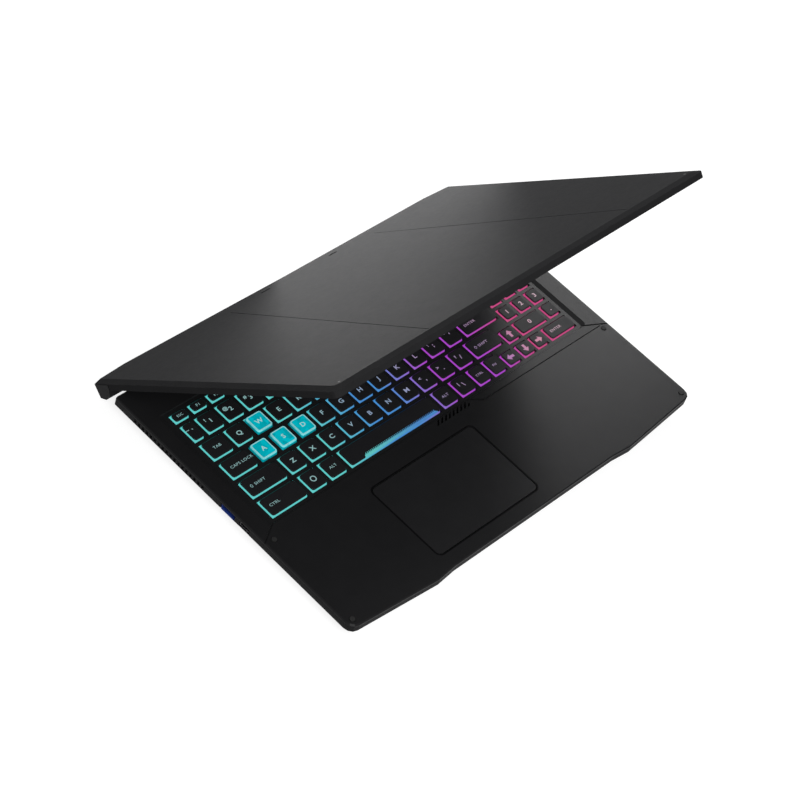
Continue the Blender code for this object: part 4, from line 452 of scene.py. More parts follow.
def glow_colour(tree, place, glow, shift=0.0):
    """The key light's colour, which runs along the keyboard from left to right."""
    split = tree.nodes.new("ShaderNodeSeparateXYZ")
    tree.links.new(place, split.inputs["Vector"])
    left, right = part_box("function_keys")[0][0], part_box("number_pad_keys")[1][0]
    share = remap(tree, split.outputs["X"], 0.0, 1.0, left + shift, right + shift)
    ramp = tree.nodes.new("ShaderNodeValToRGB")
    elements = ramp.color_ramp.elements
    while len(elements) < len(GLOW_STOPS):
        elements.new(1.0)
    for element, (position, colour) in zip(elements, GLOW_STOPS):
        element.position = position
        element.color = (*getattr(glow, colour), 1.0)
    tree.links.new(share, ramp.inputs["Fac"])
    return ramp.outputs["Color"]


def lit_plastic(name, glow, strength, shift=0.0):
    """Milky plastic that carries the key light out through its sides."""
    material, tree, shader, place = start_material(name, (0.05, 0.05, 0.055), 0.35)
    tree.links.new(glow_colour(tree, place, glow, shift), shader.inputs["Emission Color"])
    level = remap(tree, noise(tree, place, 900.0), strength * 0.9, strength * 1.1)
    tree.links.new(level, shader.inputs["Emission Strength"])
    return material


def legend_paint(name, glow, strength, whiteness):
    """Clear lettering that is whiter than the light round it."""
    material, tree, shader, place = start_material(name, (0.12, 0.12, 0.13), 0.5)
    mix = add_node(tree, "ShaderNodeMix", data_type="RGBA", factor=whiteness)
    first, second, result = mix.inputs[6], mix.inputs[7], mix.outputs[2]  # its colour sockets
    tree.links.new(glow_colour(tree, place, glow), first)
    second.default_value = (*linear(215, 220, 222), 1.0)
    tree.links.new(result, shader.inputs["Emission Color"])
    shader.inputs["Emission Strength"].default_value = strength
    return material


def clear_key(name, colour, strength):
    """Tinted see-through key plastic, lit from below, with crystal facets inside."""
    material, tree, shader, place = start_material(name, colour, 0.16)
    facets = add_node(tree, "ShaderNodeTexVoronoi", scale=270.0, feature="F1")
    tree.links.new(place, facets.inputs["Vector"])
    split = tree.nodes.new("ShaderNodeSeparateColor")
    tree.links.new(facets.outputs["Color"], split.inputs["Color"])
    level = remap(tree, split.outputs["Red"], strength * 0.5, strength * 1.25, 0.0, 1.0)
    shader.inputs["Emission Color"].default_value = (*colour, 1.0)
    tree.links.new(level, shader.inputs["Emission Strength"])
    shader.inputs["Coat Weight"].default_value = 0.6
    shader.inputs["Coat Roughness"].default_value = 0.08
    bump(tree, shader, facets.outputs["Distance"], 0.25, 0.05 * MM)
    return material


def screen_glass(name):
    """A switched-off screen: near-black, with a faint cell pattern under a smooth face."""
    colour = linear(9, 10, 12)
    material, tree, shader, place = start_material(name, colour, 0.3, specular=0.25)
    vary_colour(tree, shader, noise(tree, place, 600.0), colour, 0.15)
    tree.links.new(remap(tree, noise(tree, place, 500.0), 0.28, 0.32), shader.inputs["Roughness"])
    bump(tree, shader, noise(tree, place, 5200.0, 1.0), 0.1, 0.01 * MM)
    return material


def circuit_board(name):
    """Dark green board with copper tracks under the solder mask."""
    colour = linear(14, 46, 30)
    material, tree, shader, place = start_material(name, colour, 0.4)
    tracks = add_node(tree, "ShaderNodeTexBrick", scale=260.0)
    tracks.inputs["Color1"].default_value = (*linear(12, 40, 26), 1.0)
    tracks.inputs["Color2"].default_value = (*linear(20, 58, 38), 1.0)
    tracks.inputs["Mortar"].default_value = (*linear(54, 84, 50), 1.0)
    tracks.inputs["Mortar Size"].default_value = 0.03
    tree.links.new(place, tracks.inputs["Vector"])
    tree.links.new(tracks.outputs["Color"], shader.inputs["Base Color"])
    bump(tree, shader, tracks.outputs["Fac"], 0.3, 0.03 * MM)
    return material


def give(material, *nodes):
    """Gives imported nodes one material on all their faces."""
    for name in nodes:
        mesh = frame["nodes"][name].data
        mesh.materials.clear()
        mesh.materials.append(material)


# ---- Mesh tools ------------------------------------------------------------


def rounded_ring(x0, y0, x1, y1, z, radius, steps=4):
    """Points round a rectangle with rounded corners, at one height."""
    # at most a little under half a side, so that two corners never meet
    radius = max(min(radius, (x1 - x0) / 2.1, (y1 - y0) / 2.1), 0.05 * MM)
    points = []
    corners = ((x1, y1, 0), (x0, y1, 90), (x0, y0, 180), (x1, y0, 270))
    for x, y, start in corners:
        cx = x - radius if x == x1 else x + radius
        cy = y - radius if y == y1 else y + radius
        for step in range(steps + 1):
            angle = (start + 90 * step / steps) * DEG
            points.append((cx + radius * math.cos(angle), cy + radius * math.sin(angle), z))
    return points


def add_rings(bm, rings, cap_slot=0, side_slots=None):
    """Skins a stack of rings and closes both ends; side_slots gives each band's material slot."""
    loops = [[bm.verts.new(point) for point in ring] for ring in rings]
    count = len(loops[0])
    for level, (lower, upper) in enumerate(zip(loops, loops[1:])):
        for i in range(count):
            j = (i + 1) % count
            face = bm.faces.new((lower[i], lower[j], upper[j], upper[i]))
            face.material_index = side_slots[level] if side_slots else 0
            face.smooth = True
    bm.faces.new(list(reversed(loops[0]))).material_index = side_slots[0] if side_slots else 0
    bm.faces.new(loops[-1]).material_index = cap_slot


def add_hoop(bm, rings):
    """Skins rings that close on one another, as a flat hoop with a hole."""
    loops = [[bm.verts.new(point) for point in ring] for ring in rings]
    count = len(loops[0])
    for level, lower in enumerate(loops):
        upper = loops[(level + 1) % len(loops)]
        for i in range(count):
            j = (i + 1) % count
            bm.faces.new((lower[i], lower[j], upper[j], upper[i]))


def add_box(bm, low, high, slot=0):
    """A box between two corners."""
    centre = [(a + b) / 2 for a, b in zip(low, high)]
    size = [b - a for a, b in zip(low, high)]
    place = Matrix.Translation(centre) @ Matrix.Diagonal((*size, 1.0))
    made = bmesh.ops.create_cube(bm, size=1.0, matrix=place)
    for face in {face for vert in made["verts"] for face in vert.link_faces}:
        face.material_index = slot


def add_disc(bm, centre, radius, height, turn=None, segments=24, slot=0, top_share=1.0):
    """A short round stud standing up from a point, or along a turned axis."""
    place = Matrix.Translation(centre) @ (turn or Matrix.Identity(4))
    made = bmesh.ops.create_cone(
        bm,
        cap_ends=True,
        segments=segments,
        radius1=radius,
        radius2=radius * top_share,
        depth=height,
        matrix=place @ Matrix.Translation((0, 0, height / 2)),
    )
    for face in {face for vert in made["verts"] for face in vert.link_faces}:
        face.material_index = slot
        face.smooth = len(face.verts) == 4


def new_piece(name, bm, body, materials, transform=None):
    """Makes a mesh piece that rides on a body and takes the materials it is given."""
    bmesh.ops.recalc_face_normals(bm, faces=bm.faces)
    if transform is not None:
        bmesh.ops.transform(bm, matrix=transform, verts=bm.verts)
    mesh = bpy.data.meshes.new(name)
    bm.to_mesh(mesh)
    bm.free()
    mesh.set_sharp_from_angle(angle=35 * DEG)
    for material in materials:
        mesh.materials.append(material)
    piece = bpy.data.objects.new(name, mesh)
    bpy.context.scene.collection.objects.link(piece)
    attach(piece, body)


# ---- Keys ------------------------------------------------------------------


def cap_tops(node):
    """The flat tops of a key node's caps as (x0, y0, x1, y1, z), row by row from the front left."""
    mesh = frame["nodes"][node].data
    top = max(vertex.co.z for vertex in mesh.vertices)
    groups = []
    for polygon in mesh.polygons:
        corners = {tuple(round(c, 6) for c in mesh.vertices[i].co) for i in polygon.vertices}
        if min(corner[2] for corner in corners) < top - CAP_TOP_TOLERANCE:
            continue
        touching = [group for group in groups if group & corners]
        groups = [group for group in groups if not group & corners]
        groups.append(corners.union(*touching))
    tops = []
    for group in groups:
        xs = [corner[0] for corner in group]
        ys = [corner[1] for corner in group]
        tops.append((min(xs), min(ys), max(xs), max(ys), top))
    return sorted(tops, key=lambda rect: (round(rect[1], 3), rect[0]))


def add_skin(bm, rect, shell, face):
    """Wraps one cap's top: shell is the slot of its edge bands and face that of its top."""
    x0, y0, x1, y1, z = rect
    rings = []
    for outward, lift in SKIN_RINGS:
        radius = SKIN_CORNER + outward
        rings.append(
            rounded_ring(x0 - outward, y0 - outward, x1 + outward, y1 + outward, z + lift, radius)
        )
    add_rings(bm, rings, face, [shell, shell, shell, face])


def text_shape(words, size, align):
    """Flat letters as a mesh, standing on the origin's height."""
    curve = bpy.data.curves.new("letters", "FONT")
    curve.body = words
    curve.size = size
    curve.align_x = align
    curve.align_y = "CENTER"
    curve.extrude = LEGEND_THICKNESS / 2
    curve.resolution_u = LETTER_CURVE_STEPS
    curve.offset = LETTER_BOLD if len(words) < 2 else 0.0
    curve.space_character = LETTER_SPACING
    holder = bpy.data.objects.new("letters", curve)
    bpy.context.scene.collection.objects.link(holder)
    depsgraph = bpy.context.evaluated_depsgraph_get()
    mesh = bpy.data.meshes.new_from_object(holder.evaluated_get(depsgraph))
    bpy.data.objects.remove(holder)
    bpy.data.curves.remove(curve)
    return mesh


def add_text(bm, words, x, y, z, size, align="CENTER"):
    """Lays flat letters on a key."""
    mesh = text_shape(words, size, align)
    lift = z + LEGEND_LIFT + LEGEND_THICKNESS / 2
    mesh.transform(Matrix.Translation((x, y, lift)) @ Matrix.Diagonal((LEGEND_STRETCH, 1, 1, 1)))
    bm.from_mesh(mesh)
    bpy.data.meshes.remove(mesh)


def add_flat(bm, outline, z):
    """A thin raised shape with the thickness of the lettering."""
    low, high = z + LEGEND_LIFT, z + LEGEND_LIFT + LEGEND_THICKNESS
    add_rings(bm, [[(x, y, low) for x, y in outline], [(x, y, high) for x, y in outline]])


def add_arrow(bm, x, y, z, reach, turn):
    """A plain arrow: a triangular head on a short stem."""
    points = ((1, 0), (0.1, 0.8), (0.1, 0.3), (-0.9, 0.3), (-0.9, -0.3), (0.1, -0.3), (0.1, -0.8))
    c, s = math.cos(turn * DEG), math.sin(turn * DEG)
    outline = [(x + reach * (a * c - b * s), y + reach * (a * s + b * c)) for a, b in points]
    add_flat(bm, outline, z)


def add_ring_mark(bm, x, y, z, radius, width, start=0.0, sweep=360.0):
    """A round line, whole or with a gap, made of short straight pieces."""
    inner = radius - width
    for i in range(RING_MARK_PIECES):
        a = (start + sweep * i / RING_MARK_PIECES) * DEG
        b = (start + sweep * (i + 1) / RING_MARK_PIECES) * DEG
        corners = ((radius, a), (radius, b), (inner, b), (inner, a))
        add_flat(bm, [(x + r * math.cos(t), y + r * math.sin(t)) for r, t in corners], z)


def add_power_mark(bm, x, y, z):
    """A round line that is open at the rear, with an upright stroke in the gap."""
    add_ring_mark(bm, x, y, z, POWER_RING_RADIUS, POWER_RING_WIDTH, *POWER_RING_ARC)
    half, reach = POWER_STROKE[0] / 2, POWER_STROKE[1]
    add_flat(bm, [(x - half, y), (x + half, y), (x + half, y + reach), (x - half, y + reach)], z)


def add_shift_mark(bm, x, y, z, size):
    """The hollow up arrow beside the word on a shift key, drawn as a roof, two legs and a base."""
    line, wing, stem, foot = size * 0.16, size * 0.8, size * 0.45, size * 0.7
    for side in (-1, 1):
        roof = [(x, y + size), (x + side * wing, y), (x + side * (wing - line * 1.6), y)]
        roof.append((x, y + size - line * 1.8))
        add_flat(bm, roof, z)
        leg = [(x + side * stem, y), (x + side * stem, y - foot)]
        leg += [(x + side * (stem - line), y - foot), (x + side * (stem - line), y)]
        add_flat(bm, leg, z)
    base = [(x - stem, y - foot), (x + stem, y - foot)]
    base += [(x + stem, y - foot + line), (x - stem, y - foot + line)]
    add_flat(bm, base, z)


def add_legend(bm, words, rect, sizes):
    """The mark on one key: a letter, a pair of signs, a word or a plain symbol."""
    x0, y0, x1, y1, z = rect
    x, y = (x0 + x1) / 2, (y0 + y1) / 2
    wide, deep = x1 - x0, y1 - y0
    is_word = len(words) > 2
    if words in ARROW_TURNS:
        add_arrow(bm, x, y, z, sizes.arrow, ARROW_TURNS[words])
    elif words == "ring":
        add_ring_mark(bm, x, y, z, sizes.ring, RING_MARK_WIDTH)
    elif words == "power":
        add_power_mark(bm, x, y, z)
    elif deep < SHALLOW_CAP:
        add_text(bm, words, x, y, z, sizes.low_word if is_word else sizes.low_sign)
    elif words == "SHIFT":
        add_shift_mark(bm, x0 + SHIFT_MARK_INSET, y, z, sizes.shift_mark)
        add_text(bm, words, x0 + SHIFT_WORD_INSET, y, z, sizes.word, "LEFT")
    elif is_word and wide > WORD_CAP:
        add_text(bm, words, x0 + WORD_INSET, y, z, sizes.word, "LEFT")
    elif is_word or words == "FN":
        add_text(bm, words, x, y, z, sizes.word if wide > LETTER_CAP else sizes.narrow_word)
    elif len(words) == 2:
        aside, behind = UPPER_SIGN_PLACE
        add_text(bm, words[0], x + aside, y + behind, z, sizes.upper_sign)
        add_text(bm, words[1], x + LOWER_SIGN_PLACE, y, z, sizes.lower_sign)
    else:
        add_text(bm, words, x, y, z, sizes.letter)


def add_border(bm, rect):
    """The pale line round the top of a clear key."""
    x0, y0, x1, y1, z = rect
    low, high = z + LEGEND_LIFT, z + LEGEND_LIFT + LEGEND_THICKNESS
    outer, inner = BORDER_INSETS
    rings = []
    for inset, level in ((inner, low), (outer, low), (outer, high), (inner, high)):
        radius = BORDER_CORNER - inset
        rings.append(rounded_ring(x0 + inset, y0 + inset, x1 - inset, y1 - inset, level, radius))
    add_hoop(bm, rings)


def add_light_strip(bm, rect):
    """The lit band that wraps over the space bar's front edge, with a row of ticks behind it."""
    x0, y0, x1, y1, z = rect
    left, right = [x0 + (x1 - x0) * share for share, _ in BAND_ENDS]
    front, back = BAND_PROFILE[0][0], BAND_PROFILE[2][0]
    rings = []
    for end, (_, lean) in zip((left, right), BAND_ENDS):
        ring = []
        for along, up in BAND_PROFILE:
            slant = lean * (along - front) / (back - front)
            ring.append((end + slant * MM, y0 + along * MM, z + up * MM))
        rings.append(ring)
    add_rings(bm, rings)
    near, far = [y0 + back * MM + reach for reach in TICK_REACH]
    first, last = left + TICK_MARGINS[0], right - TICK_MARGINS[1]
    for i in range(TICK_COUNT):
        x = first + (last - first) * i / (TICK_COUNT - 1)
        outline = [(x, near), (x + TICK_WIDTH, near)]
        outline += [(x + TICK_LEAN + TICK_WIDTH, far), (x + TICK_LEAN, far)]
        add_flat(bm, outline, z)


class LAPTOP_OT_light_keys(Operator):
    """Makes the key caps' bodies glow through their sides"""

    bl_idname = "laptop.light_keys"
    bl_label = "Light the Keys"

    def execute(self, context):
        glow = context.scene.laptop_glow
        lit = lit_plastic("lit key body", glow, glow.strength)
        give(lit, *[node for node in KEY_WORDS if node not in CLEAR_KEYS])
        give(clear_key("clear key body", glow.clear_key, strength=0.3), *CLEAR_KEYS)
        return {"FINISHED"}


class LAPTOP_OT_skin_keys(Operator):
    """Wraps each key's top in its thin painted skin, or its clear cap"""

    bl_idname = "laptop.skin_keys"
    bl_label = "Skin the Keys"

    def execute(self, context):
        glow = context.scene.laptop_glow
        finish = context.scene.laptop_finish
        gloss = finish.case_gloss * 1.5
        black = moulded(
            "key top paint", finish.key_colour, 0.45, grain=3200.0, depth=0.03 * MM, specular=gloss
        )
        clear = clear_key("clear key top", glow.clear_key, strength=0.62)
        pale = clear_key("clear key edge", linear(110, 205, 210), strength=0.5)
        for node in KEY_WORDS:
            bm = bmesh.new()
            for rect in cap_tops(node):
                add_skin(bm, rect, 0, 1)
            is_clear = node in CLEAR_KEYS
            materials = (pale, clear) if is_clear else (black, black)
            new_piece(node + "_skin", bm, node, materials)
        return {"FINISHED"}


class LAPTOP_OT_mark_keys(Operator):
    """Puts plain lettering and arrows on the keys, and the lit band on the space bar"""

    bl_idname = "laptop.mark_keys"
    bl_label = "Mark the Keys"

    def execute(self, context):
        glow = context.scene.laptop_glow
        sizes = context.scene.laptop_lettering
        paint = legend_paint("key lettering", glow, strength=0.6, whiteness=0.4)
        tinted = legend_paint("arrow lettering", glow, strength=0.6, whiteness=0.0)
        bright = legend_paint("clear key lettering", glow, strength=0.8, whiteness=0.5)
        strip = lit_plastic("space bar band", glow, strength=0.8, shift=BAND_GLOW_SHIFT)
        for node, words in KEY_WORDS.items():
            rects = cap_tops(node)
            if len(rects) != len(words):
                raise RuntimeError(f"{node} has {len(rects)} caps and {len(words)} legends")
            bm = bmesh.new()
            if node == "space_bar":
                add_light_strip(bm, rects[0])
                new_piece("space_bar_band", bm, node, (strip,))
                continue
            for rect, word in zip(rects, words):
                add_legend(bm, word, rect, sizes)
                if node in CLEAR_KEYS:
                    add_border(bm, rect)
            material = tinted if words[0] in ARROW_TURNS else paint
            if node in CLEAR_KEYS:
                material = bright
            new_piece(node + "_legend", bm, node, (material,))
        return {"FINISHED"}


# ---- Case ------------------------------------------------------------------


def deck_level(x, y):
    """Height of the deck's upper face at one point."""
    deck = frame["nodes"]["top_case"]
    hit, point, _, _ = deck.ray_cast((x, y, 0.1), (0.0, 0.0, -1.0))
    if not hit:
        raise RuntimeError("no deck under the touchpad's rim")
    return point[2]


def add_pad_gap_shade():
    """A thin near-black ring on the deck round the touchpad's gap: painted shade that widens the gap's
    dark line.
    """
    low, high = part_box("touchpad")
    deck_z = deck_level(low[0] - DECK_SPOT[0], low[1] + DECK_SPOT[1])
    rings = []
    for edge, lift in PAD_GAP_SHADE_SECTION:
        x0, y0, x1, y1 = low[0] - edge, low[1] - edge, high[0] + edge, high[1] + edge
        rings.append(rounded_ring(x0, y0, x1, y1, deck_z + lift, PAD_CORNER_RADIUS + edge, steps=8))
    bm = bmesh.new()
    add_hoop(bm, rings)
    # the ring's near-black colour is painted shade for the touchpad's gap
    coat = moulded("touchpad rim coat", linear(4, 4, 5), 0.7, specular=0.05)
    new_piece("touchpad_rim", bm, "chassis", (coat,))


class LAPTOP_OT_finish_case(Operator):
    """Gives the deck, the bottom cover, the touchpad, feet and bumpers their finish, and lays the painted
    shade round the touchpad's gap
    """

    bl_idname = "laptop.finish_case"
    bl_label = "Finish the Case"

    def execute(self, context):
        finish = context.scene.laptop_finish
        dull = finish.case_gloss
        deck = moulded("deck paint", finish.case_colour, finish.case_roughness, specular=dull)
        cover = moulded(
            "bottom cover plastic", finish.case_colour, 0.55, grain=1500.0, depth=0.05 * MM, specular=dull
        )
        pad = moulded(
            "touchpad coat", finish.pad_colour, 0.36, grain=4200.0, depth=0.01 * MM, specular=dull
        )
        give(deck, "top_case")
        give(cover, "bottom_cover")
        give(pad, "touchpad")
        soft = rubber("bumper rubber", finish.rubber_colour)
        bumpers = [name for name in frame["nodes"] if name.startswith("deck_bumper")]
        give(soft, *bumpers, "front_left_foot", "front_right_foot", "rear_foot")
        add_pad_gap_shade()
        return {"FINISHED"}


def add_screw(bm, x, y):
    """One cross-head screw on a near-black disc, painted shade that stands in for its recess; the cross
    in its head is painted dark as the shade in its slot.
    """
    add_disc(bm, (x, y, UNDERSIDE_Z + SHADE_DISC_LEVEL), *SCREW_SHADE_DISC, FACING_DOWN, slot=1)
    add_disc(bm, (x, y, UNDERSIDE_Z + HEAD_LEVEL), *SCREW_HEAD, FACING_DOWN, top_share=0.75)
    arm, half, depth = SCREW_CROSS
    top = UNDERSIDE_Z + CROSS_LEVEL
    add_box(bm, (x - arm, y - half, top - depth), (x + arm, y + half, top), slot=1)
    # a hair deeper, so that the two bars' faces don't coincide
    add_box(bm, (x - half, y - arm, top - depth - 0.01 * MM), (x + half, y + arm, top), slot=1)


class LAPTOP_OT_add_screws(Operator):
    """Puts the cross-head screws into the bottom cover"""

    bl_idname = "laptop.add_screws"
    bl_label = "Add the Bottom Screws"

    def execute(self, context):
        steel = brushed_metal("screw steel", linear(70, 70, 74), 0.35)
        # the near-black of the disc round each screw and of its cross is painted shade for the recess and
        # the slot
        shade = moulded("screw recess", linear(10, 10, 11), 0.7)
        low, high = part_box("bottom_cover")
        bm = bmesh.new()
        for x_share, y_share in SCREW_SPOTS:
            x = (high[0] - SCREW_SIDE_MARGIN) * x_share
            add_screw(bm, x, low[1] + (high[1] - low[1]) * y_share)
        new_piece("bottom_screws", bm, "chassis", (steel, shade))
        return {"FINISHED"}


# ---- Lid -------------------------------------------------------------------


def lid_bounds(node):
    """A lid node's box in the shut lid's own directions, about the hinge axis."""
    to_lid = LID_FRAME.inverted()
    points = [to_lid @ vertex.co for vertex in frame["nodes"][node].data.vertices]
    low = [min(point[axis] for point in points) for axis in range(3)]
    high = [max(point[axis] for point in points) for axis in range(3)]
    return low, high


class LAPTOP_OT_finish_lid(Operator):
    """Gives the lid's cover, hinge cover, frame and screen their finish"""

    bl_idname = "laptop.finish_lid"
    bl_label = "Finish the Lid"

    def execute(self, context):
        finish = context.scene.laptop_finish
        gloss = finish.lid_gloss
        coat = moulded("lid coat", finish.lid_colour, finish.lid_roughness, grain=3000.0, specular=gloss)
        give(coat, "lid_cover")
        dull = finish.case_gloss
        give(moulded("hinge cover plastic", finish.case_colour, 0.5, specular=dull), "hinge_cover")
        bezel = moulded(
            "bezel plastic", finish.bezel_colour, 0.6, grain=1400.0, depth=0.05 * MM, specular=dull
        )
        give(bezel, "screen_bezel")
        give(screen_glass("screen face"), "display_panel")
        give(moulded("camera board", linear(18, 18, 20), 0.4), "webcam_module")
        steel = brushed_metal("hinge steel", linear(62, 62, 65), 0.4)
        for side in ("left", "right"):
            give(steel, side + "_hinge_leaf", side + "_hinge_bracket")
        return {"FINISHED"}


def add_screen_stops(material):
    """The rubber stops at both sides of the screen that rest on the deck when the lid is shut."""
    low, high = lid_bounds("screen_bezel")
    half_x, half_y = STOP_HALF_SIZE
    bm = bmesh.new()
    for side in (-1, 1):
        for from_front in STOPS_FROM_FRONT:
            x, y = side * (high[0] - STOP_FROM_SIDE), low[1] + from_front
            box = (x - half_x, y - half_y, x + half_x, y + half_y)
            add_rings(bm, [rounded_ring(*box, low[2] + lift, STOP_CORNER) for lift in STOP_HEIGHTS])
    new_piece("screen_stops", bm, "lid", (material,), LID_FRAME)


def add_lens_and_microphones(material):
    """The camera's lens ring, with a near-black disc at each side painted as the shade in a microphone
    hole.
    """
    underside = lid_bounds("screen_bezel")[0][2]
    front, rear = lid_bounds("webcam_module")
    y = (front[1] + rear[1]) / 2
    bm = bmesh.new()
    lens = (0.0, y, underside + LENS_ABOVE_FRAME)
    add_disc(bm, lens, LENS_RADIUS, LENS_HEIGHT, FACING_DOWN, top_share=0.8)
    # the microphone discs' near-black glass is painted shade standing in for the holes
    for x in (-MICROPHONE_FROM_LENS, MICROPHONE_FROM_LENS):
        hole = (x, y, underside + MICROPHONE_ABOVE_FRAME)
        add_disc(bm, hole, MICROPHONE_RADIUS, MICROPHONE_HEIGHT, FACING_DOWN, segments=12)
    new_piece("camera_lens_and_microphones", bm, "lid", (material,), LID_FRAME)


def add_corner_marks(material):
    """The small round mark near each front corner of the lid's outer face."""
    low, high = lid_bounds("lid_cover")
    aside, behind = CORNER_MARK_INSET
    bm = bmesh.new()
    for x in (low[0] + aside, high[0] - aside):
        place = (x, low[1] + behind, high[2] - CORNER_MARK_SUNK)
        add_disc(bm, place, CORNER_MARK_RADIUS, CORNER_MARK_HEIGHT, segments=16)
    new_piece("lid_corner_marks", bm, "lid", (material,), LID_FRAME)


class LAPTOP_OT_detail_lid(Operator):
    """Adds the screen's rubber stops, the camera's lens ring and the lid's small marks"""

    bl_idname = "laptop.detail_lid"
    bl_label = "Detail the Lid"

    def execute(self, context):
        add_screen_stops(rubber("stop rubber", context.scene.laptop_finish.rubber_colour))
        add_lens_and_microphones(screen_glass("lens glass"))
        add_corner_marks(moulded("lid mark", linear(14, 14, 15), 0.6))
        return {"FINISHED"}


# ---- Sockets and inside ----------------------------------------------------


def add_contacts(node, count, material):
    """Lays a row of contacts on a socket's tongue, from just inside its mouth."""
    low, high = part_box(node)
    side = -1 if node.startswith("left") else 1
    mouth = low[0] if side < 0 else high[0]
    drop = (high[2] - low[2] - SHELL_WALLS) * TONGUE_DROP
    if node.endswith("usb_port"):
        drop = USB_TONGUE_DROP
    z = (low[2] + high[2]) / 2 - drop
    x0, x1 = sorted(mouth - side * reach for reach in CONTACT_REACH)
    span = (high[1] - low[1]) * CONTACT_SPREAD
    bm = bmesh.new()
    for i in range(count):
        y = (low[1] + high[1]) / 2 + span * (i / (count - 1) - 0.5)
        near = (x0, y - CONTACT_HALF_WIDTH, z - CONTACT_BELOW)
        add_box(bm, near, (x1, y + CONTACT_HALF_WIDTH, z + CONTACT_ABOVE))
    new_piece(node + "_contacts", bm, "chassis", (material,))


class LAPTOP_OT_finish_sockets(Operator):
    """Finishes the sockets' shells and lays the contacts on their tongues"""

    bl_idname = "laptop.finish_sockets"
    bl_label = "Finish the Sockets"

    def execute(self, context):
        shell = brushed_metal("socket steel", linear(150, 150, 154), 0.3, stretch=(2200.0, 40.0, 2200.0))
        blue = moulded("blue socket plastic", linear(38, 62, 140), 0.4)
        black = moulded("inlet plastic", linear(20, 20, 21), 0.45)
        steel_shells = ("usb", "usb_c", "hdmi", "lan")
        give(shell, "left_media_port", *[f"right_{kind}_port" for kind in steel_shells])
        give(blue, "left_usb_port")
        give(black, "power_inlet")
        gold = brushed_metal("contact gold", linear(205, 160, 80), 0.25)
        for node, count in CONTACT_COUNTS.items():
            add_contacts(node, count, gold)
        return {"FINISHED"}


class LAPTOP_OT_finish_inside(Operator):
    """Gives the boards, fans, fins, pipe and battery their finish"""

    bl_idname = "laptop.finish_inside"
    bl_label = "Finish the Inside"

    def execute(self, context):
        give(circuit_board("circuit board"), "motherboard", "storage_drive", "memory_module")
        give(moulded("battery wrap", linear(28, 28, 30), 0.6), "battery_pack")
        give(moulded("speaker plastic", linear(32, 32, 34), 0.5), "left_speaker", "right_speaker")
        housing = brushed_metal("fan housing steel", linear(110, 110, 114), 0.4)
        give(housing, "left_fan_housing", "right_fan_housing")
        give(moulded("fan blade plastic", linear(24, 24, 26), 0.45), "left_fan_rotor", "right_fan_rotor")
        copper = brushed_metal("bare copper", linear(190, 112, 74), 0.3)
        give(copper, "heat_pipe", "left_heatsink", "right_heatsink")
        give(brushed_metal("tray steel", linear(46, 46, 50), 0.5), "keyboard_tray")
        return {"FINISHED"}


# ---- Stage -----------------------------------------------------------------


def is_seen(tree):
    """1 where a camera, glossy or see-through ray meets the surface, 0 for the light itself."""
    path = tree.nodes.new("ShaderNodeLightPath")
    total = None
    for output in ("Is Camera Ray", "Is Glossy Ray", "Is Transmission Ray"):
        if total is None:
            total = path.outputs[output]
            continue
        add = add_node(tree, "ShaderNodeMath", operation="MAXIMUM")
        tree.links.new(total, add.inputs[0])
        tree.links.new(path.outputs[output], add.inputs[1])
        total = add.outputs[0]
    return total


def white_world(room_light):
    """Even light from all around that is seen as plain white."""
    world = bpy.data.worlds.new("studio")
    world.use_nodes = True
    tree = world.node_tree
    background = tree.nodes["Background"]
    background.inputs["Color"].default_value = (1.0, 1.0, 1.0, 1.0)
    strength = remap(tree, is_seen(tree), room_light, 1.0, 0.0, 1.0)
    tree.links.new(strength, background.inputs["Strength"])
    bpy.context.scene.world = world


def floor_material():
    """Pale floor: white to the eye, with the object's shadow left on it."""
    material = bpy.data.materials.new("pale floor")
    material.use_nodes = True
    tree = material.node_tree
    shader = tree.nodes["Principled BSDF"]
    shader.inputs["Base Color"].default_value = (FLOOR_GREY, FLOOR_GREY, FLOOR_GREY, 1.0)
    shader.inputs["Roughness"].default_value = 0.9
    shader.inputs["Specular IOR Level"].default_value = 0.0
    shader.inputs["Emission Color"].default_value = (1.0, 1.0, 1.0, 1.0)
    level = remap(tree, is_seen(tree), 0.0, FLOOR_GLOW, 0.0, 1.0)
    tree.links.new(level, shader.inputs["Emission Strength"])
    return material


def add_lamp(name, place, aim, size, power):
    """A soft lamp that faces a point and isn't seen itself."""
    lamp = bpy.data.lights.new(name, "AREA")
    lamp.shape = "RECTANGLE"
    lamp.size, lamp.size_y = size
    lamp.energy = power
    holder = bpy.data.objects.new(name, lamp)
    holder.visible_camera = False
    holder.location = place
    holder.rotation_euler = (Vector(aim) - Vector(place)).to_track_quat("-Z", "Y").to_euler()
    bpy.context.scene.collection.objects.link(holder)


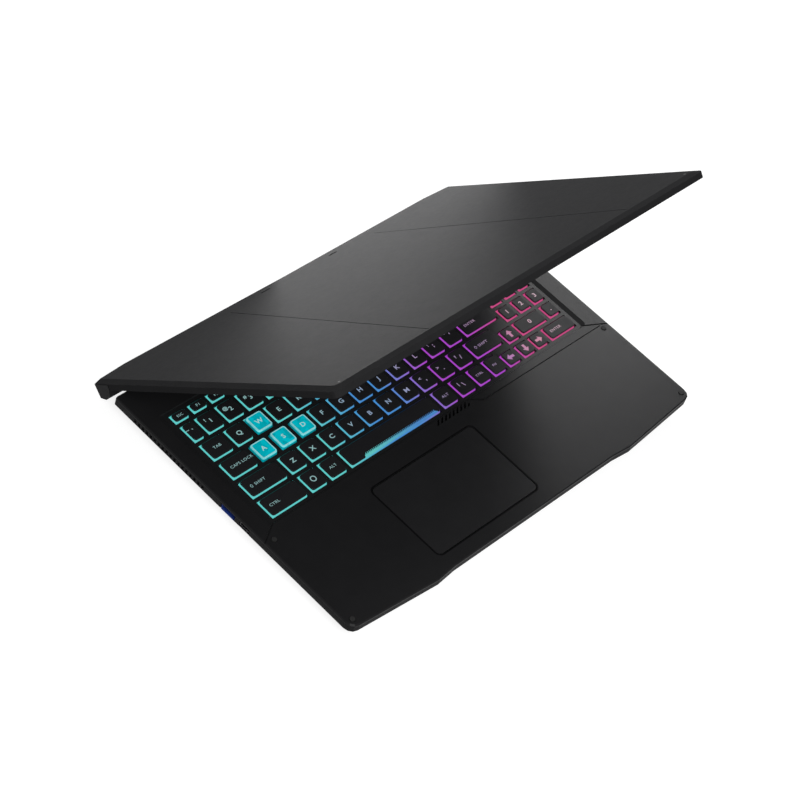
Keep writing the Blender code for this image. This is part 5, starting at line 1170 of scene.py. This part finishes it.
class LAPTOP_OT_set_stage(Operator):
    """Sets the camera, the soft lamps, the white surroundings and the floor"""

    bl_idname = "laptop.set_stage"
    bl_label = "Set the Stage"

    def execute(self, context):
        stage = context.scene.laptop_stage
        camera = bpy.data.cameras.new("photo camera")
        camera.sensor_width = 36.0
        camera.lens = stage.lens
        camera.clip_start = 0.05
        camera.clip_end = 50.0
        holder = bpy.data.objects.new("photo camera", camera)
        sight = Vector(stage.camera_aim) - Vector(stage.camera_place)
        turn = sight.to_track_quat("-Z", "Y").to_matrix().to_4x4()
        roll = Matrix.Rotation(stage.camera_roll, 4, "Z")
        holder.matrix_world = Matrix.Translation(stage.camera_place) @ turn @ roll
        context.scene.collection.objects.link(holder)
        context.scene.camera = holder

        bpy.ops.mesh.primitive_plane_add(size=FLOOR_SIZE, location=(0.0, 0.0, 0.0))
        floor = context.active_object
        floor.name = "floor"
        floor.data.materials.append(floor_material())

        white_world(stage.room_light)
        for name, (place, aim, size, power) in LAMPS.items():
            add_lamp(name, place, aim, size, getattr(stage, power))
        context.scene.view_settings.view_transform = "Standard"
        return {"FINISHED"}


# ---- Panel and running -----------------------------------------------------

STEPS = (
    LAPTOP_OT_set_stage,
    LAPTOP_OT_finish_case,
    LAPTOP_OT_add_screws,
    LAPTOP_OT_finish_lid,
    LAPTOP_OT_detail_lid,
    LAPTOP_OT_light_keys,
    LAPTOP_OT_skin_keys,
    LAPTOP_OT_mark_keys,
    LAPTOP_OT_finish_sockets,
    LAPTOP_OT_finish_inside,
)


class LAPTOP_PT_panel(Panel):
    """Lists the laptop's settings and the steps that dress it"""

    bl_idname = "LAPTOP_PT_panel"
    bl_label = "Laptop"
    bl_space_type = "VIEW_3D"
    bl_region_type = "UI"
    bl_category = "Laptop"

    def draw(self, context):
        for group in ("laptop_finish", "laptop_glow", "laptop_lettering", "laptop_stage"):
            settings = getattr(context.scene, group)
            box = self.layout.box()
            for name in type(settings).__annotations__:
                box.prop(settings, name)
        for step in STEPS:
            self.layout.operator(step.bl_idname)


CLASSES = (
    FinishSettings,
    LetteringSettings,
    GlowSettings,
    StageSettings,
    *STEPS,
    LAPTOP_PT_panel,
)


def register():
    for cls in CLASSES:
        bpy.utils.register_class(cls)
    bpy.types.Scene.laptop_finish = PointerProperty(type=FinishSettings)
    bpy.types.Scene.laptop_glow = PointerProperty(type=GlowSettings)
    bpy.types.Scene.laptop_lettering = PointerProperty(type=LetteringSettings)
    bpy.types.Scene.laptop_stage = PointerProperty(type=StageSettings)


def unregister():
    del bpy.types.Scene.laptop_stage
    del bpy.types.Scene.laptop_lettering
    del bpy.types.Scene.laptop_glow
    del bpy.types.Scene.laptop_finish
    for cls in reversed(CLASSES):
        bpy.utils.unregister_class(cls)


def main():
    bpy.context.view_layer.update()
    register()
    for step in STEPS:
        group, name = step.bl_idname.split(".")
        getattr(getattr(bpy.ops, group), name)()


if __name__ == "__main__":
    main()
